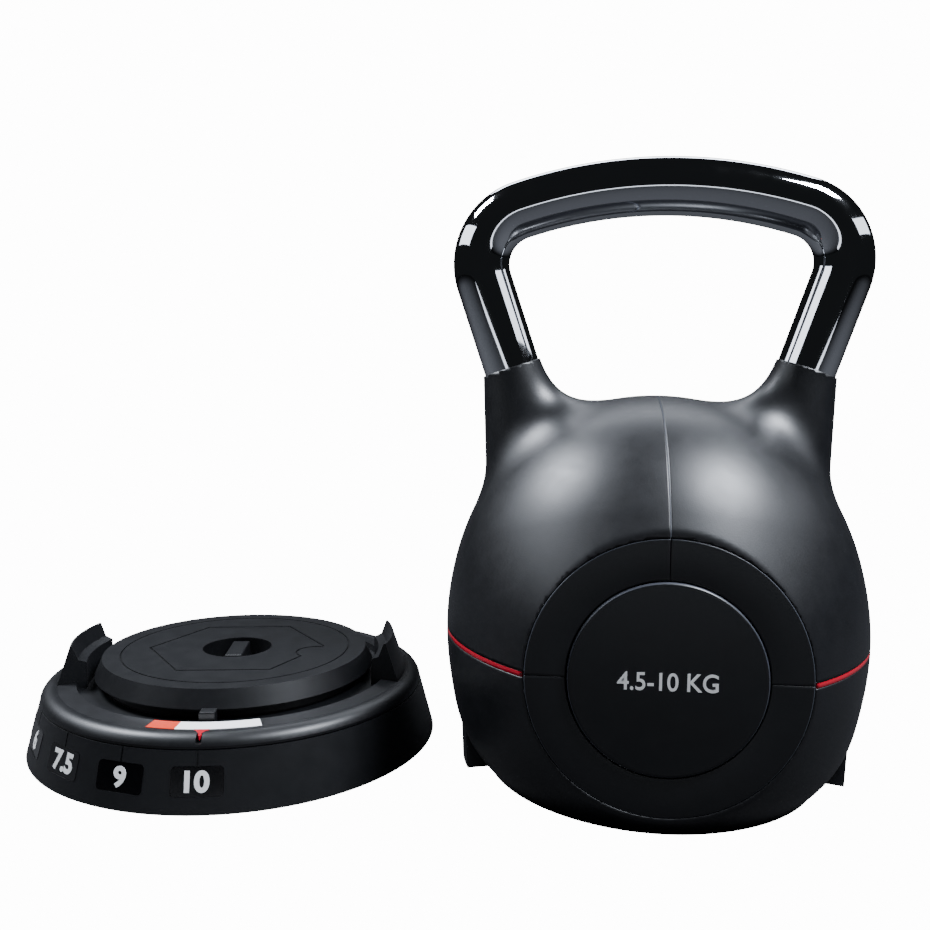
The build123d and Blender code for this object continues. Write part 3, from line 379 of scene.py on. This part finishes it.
def sideTable():
    # distance of the side from its centre against angle, through a clamped cubic
    points = np.array(bell["side"], float)
    x, y = points[:, 0], points[:, 1] - bell["sideCentre"]
    angle, reach = np.arctan2(y, x), np.hypot(x, y)
    count = len(angle)
    system, right = np.zeros((count, count)), np.zeros(count)
    gap = np.diff(angle)
    slope = np.diff(reach) / gap
    system[0, 0] = system[-1, -1] = 1
    right[0], right[-1] = slope[0], 0
    for i in range(1, count - 1):
        system[i, i - 1:i + 2] = gap[i], 2 * (gap[i - 1] + gap[i]), gap[i - 1]
        right[i] = 3 * (gap[i] * slope[i - 1] + gap[i - 1] * slope[i])
    tangent = np.linalg.solve(system, right)
    fine = np.linspace(angle[0], angle[-1], 600)
    i = np.clip(np.searchsorted(angle, fine) - 1, 0, count - 2)
    t = (fine - angle[i]) / gap[i]
    value = ((2 * t**3 - 3 * t**2 + 1) * reach[i] + (t**3 - 2 * t**2 + t) * gap[i] * tangent[i]
             + (-2 * t**3 + 3 * t**2) * reach[i + 1] + (t**3 - t**2) * gap[i] * tangent[i + 1])
    return fine, value


sideAngles, sideReach = sideTable()
lean = math.radians(bell["legAngle"])


def bellField(p):
    x, y, z = p[..., 0], p[..., 1], p[..., 2]
    flat = np.hypot(x, y)
    up = z - bell["sideCentre"]
    field = np.hypot(flat, up) - np.interp(np.arctan2(up, flat), sideAngles, sideReach)
    radius, half, height = bell["bulge"]
    bulge = (np.sqrt((x / radius)**2 + (y / half)**2 + ((z - height) / radius)**2) - 1) * radius
    field = smoothMin(field, bulge, bell["bulgeBlend"])
    side, rise = np.abs(x) - bell["mouth"][0], z - bell["mouth"][1]
    down = -(side * math.sin(lean) + rise * math.cos(lean))
    inPlane = side * math.cos(lean) - rise * math.sin(lean)
    across = np.hypot(inPlane, y)
    outer = np.clip(0.5 + 0.5 * inPlane / np.maximum(across, 1), 0, 1)
    reach = np.clip(down, 0, bell["hornLength"])
    inGrow, outGrow = bell["hornGrow"]
    horn = across - bell["mouthRadius"] - (inGrow + (outGrow - inGrow) * outer**2) * reach
    horn = np.maximum(horn, -down - bell["mouthOver"]) + np.maximum(down - bell["hornLength"], 0)
    inBlend, outBlend = bell["hornBlend"]
    field = smoothMin(field, horn, inBlend + (outBlend - inBlend) * outer)
    return -smoothMin(-field, bell["discFace"] - np.abs(y), bell["edgeBlend"]) + bell["inset"]


def castRays(origins, directions, near=40.0, far=190.0, step=1.5, halvings=18):
    # outermost crossing of the field on each ray
    distance = np.full(origins.shape[:-1], near)
    found = np.zeros(distance.shape, bool)
    for t in np.arange(far, near, -step):
        inside = bellField(origins + directions * t) < 0
        distance = np.where(inside & ~found, t, distance)
        found |= inside
    low, high = distance.copy(), distance + step
    for _ in range(halvings):
        middle = (low + high) / 2
        inside = bellField(origins + directions * middle[..., None]) < 0
        low, high = np.where(inside, middle, low), np.where(inside, high, middle)
    return origins + directions * low[..., None]


upper = {"low": (-102, -94, 60), "high": (102, 94, 206), "step": 1.7, "rounds": 3, "seamMm": 0.05,
         "probe": 0.04, "stride": 1.5, "leastSlope": 0.1}


def ontoField(points, turns):
    # Newton steps along the field's slope
    probe, stride = upper["probe"], upper["stride"]
    for _ in range(turns):
        value = bellField(points)
        slope = np.stack([(bellField(points + probe * e) - bellField(points - probe * e)) / (2 * probe)
                          for e in np.eye(3)], -1)
        steep = np.maximum((slope**2).sum(-1, keepdims=True), upper["leastSlope"])
        points = points - np.clip(value[:, None] * slope / steep, -stride, stride)
    return points


def netOfField():
    # one point in each cell that the surface crosses, joined across the crossed edges, then evened out
    axes = [np.arange(a, b, upper["step"]) for a, b in zip(upper["low"], upper["high"])]
    grid = np.stack(np.meshgrid(*axes, indexing="ij"), -1)
    inside = bellField(grid) < 0
    n = [k - 1 for k in inside.shape]
    corners = sum(inside[i:i + n[0], j:j + n[1], k:k + n[2]].astype(int)
                  for i in (0, 1) for j in (0, 1) for k in (0, 1))
    mixed = (corners > 0) & (corners < 8)
    index = np.full(n, -1)
    index[mixed] = np.arange(mixed.sum())
    points = grid[:-1, :-1, :-1][mixed] + upper["step"] / 2
    faces = []
    for axis in range(3):
        first, cells = np.moveaxis(inside, axis, 0), np.moveaxis(index, axis, 0)
        e, i, j = np.nonzero(first[:-1, 1:-1, 1:-1] != first[1:, 1:-1, 1:-1])
        faces.append(np.stack([cells[e, i, j], cells[e, i + 1, j],
                               cells[e, i + 1, j + 1], cells[e, i, j + 1]], -1))
    faces = np.concatenate(faces)
    points = ontoField(points, 4)
    for _ in range(upper["rounds"]):
        middle = points[faces].mean(1)
        total, count = np.zeros_like(points), np.zeros(len(points))
        for corner in range(4):
            np.add.at(total, faces[:, corner], middle)
            np.add.at(count, faces[:, corner], 1)
        points = ontoField(total / np.maximum(count, 1)[:, None], 2)
    return points, faces


def keepPart(piece, planes):
    # keep what lies behind each plane (point, outward normal)
    work = bmesh.new()
    work.from_mesh(piece.data)
    for point, normal in planes:
        bmesh.ops.bisect_plane(work, geom=work.verts[:] + work.edges[:] + work.faces[:],
                               plane_co=point, plane_no=normal, clear_outer=True, dist=1e-6)
    work.to_mesh(piece.data)
    work.free()


netPoints, netFaces = netOfField()
upperSkins = []
for side, name, node in ((1, "upperSkinRight", "upper_shell_right"),
                         (-1, "upperSkinLeft", "upper_shell_left")):
    skin = newObject(name, netPoints * mm, netFaces.tolist(), "bell")
    mouth = Vector((side * bell["mouth"][0], 0, bell["mouth"][1])) * mm
    keepPart(skin, [((side * upper["seamMm"] * mm, 0, 0), (-side, 0, 0)),
                    ((0, 0, bell["accent"][1] * mm), (0, 0, -1)),
                    (mouth, (side * math.sin(lean), 0, math.cos(lean)))])
    addModifier(skin, "SOLIDIFY", thickness=bell["wall"] * mm, offset=-1.0)
    # this plastic carries a pale line painted along the joint as a highlight
    paint(skin, plastic["grainedMouldedAbsWithSeam"])
    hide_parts(node)
    upperSkins.append(skin)
print("upper shells made")


# round faces at front and rear

disc = {"ringOuter": 57.85, "ringInner": 40.95, "ringThick": 5.0, "ringFillet": (0.5, 0.45),
        "ringBevel": 0.12, "ringBevelDegrees": 60, "gapDegrees": 0.16, "segments": 160,
        "capRadius": 40.35, "capBack": 3.0, "capEdge": 1.4, "capFillet": 1.3, "capCrown": 1.75,
        "pocketRadius": 58.15, "pocketDepth": 5.6, "pocketReach": 20.0, "pocketSegments": 200}


def discMatrix(side):
    # local Z looks out of the face, local Y is up; local depth 0 is the flat ring's face
    turn = Matrix.Rotation(math.radians(90), 4, "X")
    if side > 0:
        turn = Matrix.Rotation(math.pi, 4, "Z") @ turn
    return Matrix.Translation((0, side * bell["discFace"] * mm, bell["discHeight"] * mm)) @ turn


def discCutter(side):
    radius, depth, reach = disc["pocketRadius"], disc["pocketDepth"], disc["pocketReach"]
    profile = [(0, -depth), (radius, -depth), (radius, reach), (0, reach)]
    verts, faces = lathe(profile, disc["pocketSegments"], discMatrix(side))
    return newObject("discCutter", verts, faces, None)


for skin in upperSkins:
    for side in (-1, 1):
        cutWith(skin, discCutter(side))
    skin.data.polygons.foreach_set("use_smooth", [True] * len(skin.data.polygons))

for side, place in ((-1, "front"), (1, "rear")):
    inner, outer, thick = disc["ringInner"], disc["ringOuter"], disc["ringThick"]
    outerFillet, innerFillet = disc["ringFillet"]
    ring = roundedProfile([(inner, -thick, 0), (outer, -thick, 0),
                           (outer, 0, outerFillet), (inner, 0, innerFillet)], 4)
    gap = math.radians(disc["gapDegrees"])
    for part, start, stop in (("UpperRight", 0, 90), ("UpperLeft", 90, 180), ("Lower", 180, 360)):
        low, high = math.radians(start) + gap, math.radians(stop) - gap
        count = int(disc["segments"] * (high - low) / math.pi)
        verts, faces = lathe(ring, count, discMatrix(side), (low, high - low))
        segment = newObject(place + "Ring" + part, verts, faces, "bell")
        addModifier(segment, "BEVEL", width=disc["ringBevel"] * mm, segments=2, limit_method="ANGLE",
                    angle_limit=math.radians(disc["ringBevelDegrees"]))
        paint(segment, plastic["fineGrainedMouldedAbs"])
    radius, back = disc["capRadius"], disc["capBack"]
    profile = roundedProfile([(0, -back, 0), (radius, -back, 0),
                              (radius, disc["capEdge"], disc["capFillet"]), (0, disc["capCrown"], 0)], 7)
    verts, faces = lathe(profile, 2 * disc["segments"], discMatrix(side))
    cap = newObject(place + "CapDisc", verts, faces, "bell")
    paint(cap, plastic["smoothMouldedAbs"])
    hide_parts(place + "_cap")
print("round faces made")


# lower shell with its dock sockets

lower = {"rows": 90, "columns": 300, "edge": 0.3, "edgeDegrees": 0.22,
         "footFillet": 1.6, "filletSteps": (0.35, 0.7, 1.0),
         "sleeve": 73.0, "sleeveTop": 66.0, "sleeveChamfer": 0.6, "lip": (4, 3), "lipDrop": 1.0,
         "socketHalf": 19.0, "socketFloor": 3.5, "socketTop": 27.0, "socketRadius": (91.4, 92.4),
         "pocketHalf": 17.3, "pocketRadius": (70.0, 90.0), "pocketSpan": (-2, 24.0), "pocketSegments": 24}


def lowerSkin():
    # rays from the bell's axis find the outside, then the foot, the inner sleeve and the lip close it
    half, edge = math.radians(lower["socketHalf"]), math.radians(lower["edgeDegrees"])
    azimuth = set(np.linspace(0, 2 * math.pi, lower["columns"], endpoint=False))
    for centre in (0, math.pi):
        for s in (-1, 1):
            azimuth |= {(centre + s * half) % (2 * math.pi), (centre + s * (half + edge)) % (2 * math.pi)}
    azimuth = np.array(sorted(azimuth))
    floor = lower["socketFloor"]
    top = bell["accent"][0]
    heights = sorted(set(np.linspace(lower["footFillet"], top - lower["edge"], lower["rows"]))
                     | {floor, floor + lower["edge"]}, reverse=True)
    z, a = np.meshgrid(heights, azimuth, indexing="ij")
    origins = np.stack([0 * a, 0 * a, z], -1)
    directions = np.stack([np.cos(a), np.sin(a), 0 * a], -1)
    points = castRays(origins, directions)
    reach = np.hypot(points[..., 0], points[..., 1])
    swing = np.abs((a + math.pi / 2) % math.pi - math.pi / 2)
    low, high = lower["socketRadius"]
    wallReach = low + (high - low) * (z - floor) / (lower["socketTop"] - floor)
    socket = (swing <= half + 1e-6) & (z >= floor + lower["edge"] - 1e-6) & (z < lower["socketTop"])
    reach = np.where(socket, np.maximum(reach, wallReach), reach)
    rows = [np.stack([reach * np.cos(a), reach * np.sin(a), z], -1)]

    def ring(radius, height):
        radius = np.broadcast_to(radius, azimuth.shape)
        return np.stack([radius * np.cos(azimuth), radius * np.sin(azimuth), 0 * azimuth + height], -1)[None]

    fillet, sleeve, chamfer = lower["footFillet"], lower["sleeve"], lower["sleeveChamfer"]
    lipBack, lipFront = lower["lip"]
    foot = reach[-1]
    for s in lower["filletSteps"]:
        angle = s * math.pi / 2
        rows.append(ring(foot - fillet * (1 - math.cos(angle)), fillet * (1 - math.sin(angle))))
    rows += [ring(sleeve + chamfer, 0.0), ring(sleeve, chamfer), ring(sleeve, lower["sleeveTop"]),
             ring(reach[0] - lipBack, top - lower["lipDrop"]), ring(reach[0] - lipFront, top),
             ring(reach[0] - lower["edge"], top)]
    points = np.concatenate(rows)
    count = len(points)
    faces = gridFaces(count, len(azimuth), True)
    last = (count - 1) * len(azimuth)
    for j in range(len(azimuth)):
        k = (j + 1) % len(azimuth)
        faces.append((last + j, last + k, k, j))
    return points.reshape(-1, 3), faces


def socketCutter(turn):
    half = math.radians(lower["pocketHalf"])
    (inner, outer), (low, high) = lower["pocketRadius"], lower["pocketSpan"]
    verts, faces = lathe([(inner, low), (outer, low), (outer, high), (inner, high)], lower["pocketSegments"],
                         arc=(math.radians(turn) - half, 2 * half))
    return newObject("socketCutter", verts, faces, None)


verts, faces = lowerSkin()
lowerShell = newObject("lowerSkin", verts * mm, faces, "bell")
for cutter in (discCutter(-1), discCutter(1), socketCutter(0), socketCutter(180)):
    cutWith(lowerShell, cutter)
lowerShell.data.polygons.foreach_set("use_smooth", [True] * len(lowerShell.data.polygons))
paint(lowerShell, plastic["grainedMouldedAbs"])
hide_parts("lower_shell")
print("lower shell made")


# red strips in the parting line

strip = {"halfTurn": 55.2, "columns": 120, "depth": 1.8, "under": 0.12, "corner": (0.25, 0.3),
         "crown": 0.04}


def accentStrip(turn):
    # one strip: a thin band that follows the body, with a rounded face
    low, high = bell["accent"]
    deep, under, (back, rise) = strip["depth"], strip["under"], strip["corner"]
    azimuth = np.radians(turn) + np.linspace(-1, 1, strip["columns"]) * math.radians(strip["halfTurn"])
    rows = []
    for height, depth in ((low, deep), (low, under + back), (low + rise, under),
                          ((low + high) / 2, strip["crown"]),
                          (high - rise, under), (high, under + back), (high, deep)):
        origins = np.stack([0 * azimuth, 0 * azimuth, 0 * azimuth + height], -1)
        directions = np.stack([np.cos(azimuth), np.sin(azimuth), 0 * azimuth], -1)
        rows.append(castRays(origins, directions) - depth * directions)
    points = np.array(rows)
    count, columns = points.shape[:2]
    faces = gridFaces(count, columns)
    last = (count - 1) * columns
    faces += [(last + j, last + j + 1, j + 1, j) for j in range(columns - 1)]
    start = tuple(i * columns for i in range(count))
    faces += [start, tuple(i + columns - 1 for i in start)[::-1]]
    return points.reshape(-1, 3), faces


for turn, name in ((0, "accentRight"), (180, "accentLeft")):
    verts, faces = accentStrip(turn)
    band = newObject(name, verts * mm, faces, "bell")
    paint(band, plastic["glossyRedMouldedAbs"])
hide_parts("accent_strips")
print("accent strips made")


# handle

grip = {"apex": 278.5, "arcRadius": 216.5, "halfAngle": 17.7, "cornerRadius": 26.5, "tubeRadius": 13.5,
        "legEnd": 160.0, "around": 80, "cornerSteps": 40, "topSteps": 80, "legSteps": 26}


def gripPath():
    # centreline points and tangents from the left leg, over the grip, to the right leg
    centre = grip["apex"] - grip["arcRadius"]
    reach = grip["arcRadius"] - grip["cornerRadius"]
    half = math.radians(grip["halfAngle"])
    cornerX, cornerZ = reach * math.sin(half), centre + reach * math.cos(half)
    right = []
    for t in np.linspace(0, half, grip["topSteps"] // 2, endpoint=False):
        right.append((grip["arcRadius"] * math.sin(t), centre + grip["arcRadius"] * math.cos(t), t))
    for t in np.linspace(half, math.pi / 2 + lean, grip["cornerSteps"], endpoint=False):
        right.append((cornerX + grip["cornerRadius"] * math.sin(t),
                      cornerZ + grip["cornerRadius"] * math.cos(t), t))
    x = cornerX + grip["cornerRadius"] * math.cos(lean)
    z = cornerZ - grip["cornerRadius"] * math.sin(lean)
    length = (z - grip["legEnd"]) / math.cos(lean)
    for s in np.linspace(0, length, grip["legSteps"]):
        right.append((x - s * math.sin(lean), z - s * math.cos(lean), math.pi / 2 + lean))
    left = [(-x, z, -t) for x, z, t in right[:0:-1]]
    return left + right


rings = gripPath()
verts = []
for x, z, turn in rings:
    outward = Vector((math.sin(turn), 0, math.cos(turn)))
    for j in range(grip["around"]):
        angle = 2 * math.pi * j / grip["around"]
        spoke = outward * math.cos(angle) + Vector((0, math.sin(angle), 0))
        verts.append((Vector((x, 0, z)) + grip["tubeRadius"] * spoke) * mm)
faces = gridFaces(len(rings), grip["around"], True)
faces += [tuple(range(grip["around"])), tuple(len(verts) - 1 - j for j in range(grip["around"]))]
handle = newObject("handleTube", verts, faces, "bell")
paint(handle, chrome)
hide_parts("handle")
print("handle made")


# dial base: CAD pieces with their finishes and softened edges

finishes = {
    "satinMouldedPolypropylene": ("number_ring", "platform", "turntable", "base_cover", "latch_tab",
                                  "selector_key"),
    "polishedMouldedAbs": ("number_windows",),
    "mouldedRubber": ("rubber_pads",),
    "naturalNylon": ("glide_ring",),
    "glassFilledNylon": ("selector_spindle",),
    "paintedCastIron": ("top_weight", "plate_1", "plate_2", "plate_3", "plate_4"),
    "sinteredBronze": ("spindle_bush",),
    "coatedPaperPrinted": ("dial_label",),
}
softened = {"number_ring": 0.5, "platform": 0.5, "turntable": 0.35, "latch_tab": 0.3, "selector_key": 0.3,
            "plate_1": 0.4, "selector_spindle": 0.3}
sharpestDegrees = 35
hiddenNodes = ("lower_shell", "upper_shell_left", "upper_shell_right", "accent_strips", "handle", "front_cap",
               "rear_cap", "pointer")
finishOf = {name: bpy.data.materials[finish] for finish, names in finishes.items() for name in names}
for name, node in nodes.items():
    if name in hiddenNodes:
        continue
    node.data.materials.clear()
    node.data.materials.append(finishOf.get(name, metal["zincPlatedSteel"]))
    if name in softened:
        addModifier(node, "BEVEL", width=softened[name] * mm, segments=2, limit_method="ANGLE",
                    angle_limit=math.radians(sharpestDegrees))
print("finishes on the CAD pieces")


# pointer chip on the turntable's rim
baseCentre = Vector((-214.0, 13.2, 0)) * mm
baseHeading = math.radians(9.3)
wedge = {"back": 87.9, "tip": 93.8, "half": 3.4, "backTop": 34.3, "tipTop": 33.35, "thick": 2.2,
         "bevel": 0.15}


def pointerWedge():
    # red chip on the rim: a small wedge whose top follows the rim's fall
    turn = Matrix.Translation(baseCentre) @ Matrix.Rotation(baseHeading, 4, "Z")
    half, back, top = wedge["half"], wedge["back"], wedge["backTop"]
    corners = [(-half, -back, top), (half, -back, top), (0, -wedge["tip"], wedge["tipTop"])]
    verts = [turn @ (Vector((x, y, z - drop)) * mm) for drop in (0, wedge["thick"]) for x, y, z in corners]
    faces = [(0, 1, 2), (5, 4, 3), (0, 3, 4, 1), (1, 4, 5, 2), (2, 5, 3, 0)]
    piece = newObject("pointerWedge", verts, faces, "turntable", smooth=False)
    addModifier(piece, "BEVEL", width=wedge["bevel"] * mm, segments=2)
    paint(piece, plastic["glossyRedMouldedAbs"])
    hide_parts("pointer")


pointerWedge()
print("pointer made")


# figures

figures = {"labels": ("10", "9", "7.5", "6", "4.5"), "step": 20.3, "heightMm": 9.4, "stretch": 1.06,
           "fatten": 0.04, "thickMm": 0.12, "lift": 0.02}
capPrint = {"words": "4.5-10 KG", "heightMm": 7.6, "stretch": 0.92, "fatten": 0.012, "thickMm": 0.1,
            "over": 1.68}
cone = {"foot": (103.8, 2.0), "top": (96.8, 28.0), "windowHeight": 15.5, "windowDepth": 0.4}


def printedText(name, words, look, matrix, body):
    # ink as a thin raised mesh: the letters are centred, then scaled to a real height
    curve = bpy.data.curves.new(name, "FONT")
    curve.body = words
    curve.align_x, curve.align_y = "CENTER", "CENTER"
    curve.offset = look["fatten"]
    curve.extrude = 0.01             # any depth: thickMm takes its place below
    curve.resolution_u = 6
    holder = bpy.data.objects.new(name + "Curve", curve)
    bpy.context.scene.collection.objects.link(holder)
    bpy.context.view_layer.update()
    graph = bpy.context.evaluated_depsgraph_get()
    mesh = bpy.data.meshes.new_from_object(holder.evaluated_get(graph))
    bpy.data.objects.remove(holder)
    coords = np.array([v.co[:] for v in mesh.vertices])
    coords[:, :2] -= (coords[:, :2].max(0) + coords[:, :2].min(0)) / 2
    scale = look["heightMm"] * mm / np.ptp(coords[:, 1])
    for vertex, (x, y, z) in zip(mesh.vertices, coords):
        depth = look["thickMm"] * mm if z > 0 else 0
        vertex.co = matrix @ Vector((x * scale * look["stretch"], y * scale, depth))
    mesh.name = name
    piece = bpy.data.objects.new(name, mesh)
    bpy.context.scene.collection.objects.link(piece)
    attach(piece, body)
    paint(piece, plastic["padPrintedWhiteInk"])


(footRadius, footHeight), (topRadius, topHeight) = cone["foot"], cone["top"]
slopeRun = (footRadius - topRadius) / (topHeight - footHeight)
reach = footRadius - slopeRun * (cone["windowHeight"] - footHeight)
for k, words in enumerate(figures["labels"]):
    angle = baseHeading + math.radians(-90 - figures["step"] * k)
    out = Vector((math.cos(angle), math.sin(angle), slopeRun)).normalized()
    along = Vector((-math.sin(angle), math.cos(angle), 0))
    up = out.cross(along)
    middle = Vector((math.cos(angle) * reach, math.sin(angle) * reach, cone["windowHeight"]))
    place = baseCentre + middle * mm - out * (cone["windowDepth"] - figures["lift"]) * mm
    matrix = Matrix.Translation(place) @ Matrix((along, up, out)).transposed().to_4x4()
    printedText("figure" + words.replace(".", "_"), words, figures, matrix, "base")

place = discMatrix(-1) @ Matrix.Translation((0, 0, capPrint["over"] * mm))
printedText("capPrint", capPrint["words"], capPrint, place, "bell")
print("figures made")


# stage: floor, world, lights and camera

stage = {"floorHalf": 4.0, "floorDrop": 0.0002, "floorColour": "#1c1c1e", "floorRoughness": 0.8,
         "backdrop": 14.0, "roomColour": (0.85, 0.92, 1.0, 1), "roomGlow": 0.012,
         "lampColour": (0.86, 0.91, 1.0)}


def makeFloor():
    # seen directly it is as white as the backdrop; to light and reflections it is a near-black table
    half, low = stage["floorHalf"], -stage["floorDrop"]
    mesh = bpy.data.meshes.new("floor")
    mesh.from_pydata([(-half, -half, low), (half, -half, low), (half, half, low), (-half, half, low)], [],
                     [(0, 1, 2, 3)])
    floor = bpy.data.objects.new("floor", mesh)
    bpy.context.scene.collection.objects.link(floor)
    material = bpy.data.materials.new("paleFloor")
    material.use_nodes = True
    table = material.node_tree.nodes["Principled BSDF"]
    table.inputs["Base Color"].default_value = linear(stage["floorColour"])
    table.inputs["Roughness"].default_value = stage["floorRoughness"]
    white = addNode(material, "ShaderNodeEmission", None, {"Strength": stage["backdrop"]})
    path = addNode(material, "ShaderNodeLightPath")
    mix = addNode(material, "ShaderNodeMixShader", None,
                  {0: path.outputs["Is Camera Ray"], 1: table.outputs[0], 2: white.outputs[0]})
    surface = material.node_tree.nodes["Material Output"].inputs["Surface"]
    material.node_tree.links.new(mix.outputs[0], surface)
    mesh.materials.append(material)


def makeWorld():
    # seen directly it is white; the object mirrors a dim room, so that black stays black
    world = bpy.data.worlds.new("softStudio")
    bpy.context.scene.world = world
    world.use_nodes = True
    world.node_tree.nodes.clear()
    room = addNode(world, "ShaderNodeBackground", None,
                   {"Color": stage["roomColour"], "Strength": stage["roomGlow"]})
    white = addNode(world, "ShaderNodeBackground", None,
                    {"Color": (1, 1, 1, 1), "Strength": stage["backdrop"]})
    path = addNode(world, "ShaderNodeLightPath")
    mix = addNode(world, "ShaderNodeMixShader", None,
                  {0: path.outputs["Is Camera Ray"], 1: room.outputs[0], 2: white.outputs[0]})
    addNode(world, "ShaderNodeOutputWorld", None, {"Surface": mix.outputs[0]})


def softBox(name, place, target, width, height, power):
    light = bpy.data.lights.new(name, "AREA")
    light.color = stage["lampColour"]
    light.shape, light.size, light.size_y, light.energy = "RECTANGLE", width, height, power
    holder = bpy.data.objects.new(name, light)
    holder.location = place
    holder.rotation_euler = (Vector(target) - Vector(place)).to_track_quat("-Z", "Y").to_euler()
    bpy.context.scene.collection.objects.link(holder)


makeFloor()
makeWorld()
# name, place, target, width, height, power
softBox("keyLeft", (-1.18, 0.2, 1.5), (-0.03, 0, 0.13), 0.5, 0.5, 62.0)
softBox("keyRight", (0.95, -0.35, 1.62), (0.03, 0, 0.13), 0.5, 0.5, 92.0)
softBox("sideLeft", (-1.3, -0.1, 0.85), (0, 0, 0.2), 1.5, 0.35, 6.0)
softBox("sideRight", (1.3, -0.1, 0.85), (0, 0, 0.2), 1.5, 0.25, 3.5)
softBox("topBack", (0.0, 0.75, 1.0), (0, 0, 0.15), 1.0, 0.25, 6.0)
softBox("lowFront", (0.0, -1.9, 0.05), (0, 0, 0.15), 2.6, 0.12, 2.2)

view = {"place": (-0.0404, -0.4706, 0.1937), "turn": 6.23, "pitch": -5.79, "roll": 0.32,
        "focal": 966.1, "frame": 930, "sensor": 36.0, "clipStart": 0.01}
camera = bpy.data.cameras.new("camera")
camera.sensor_width = view["sensor"]
camera.lens = view["focal"] / view["frame"] * camera.sensor_width
camera.clip_start = view["clipStart"]
stand = bpy.data.objects.new("camera", camera)
aim = (Matrix.Rotation(math.radians(view["turn"]), 4, "Z")
       @ Matrix.Rotation(math.radians(90 + view["pitch"]), 4, "X")
       @ Matrix.Rotation(math.radians(view["roll"]), 4, "Z"))
stand.matrix_world = Matrix.Translation(view["place"]) @ aim
bpy.context.scene.collection.objects.link(stand)
bpy.context.scene.camera = stand
print("stage and camera set")
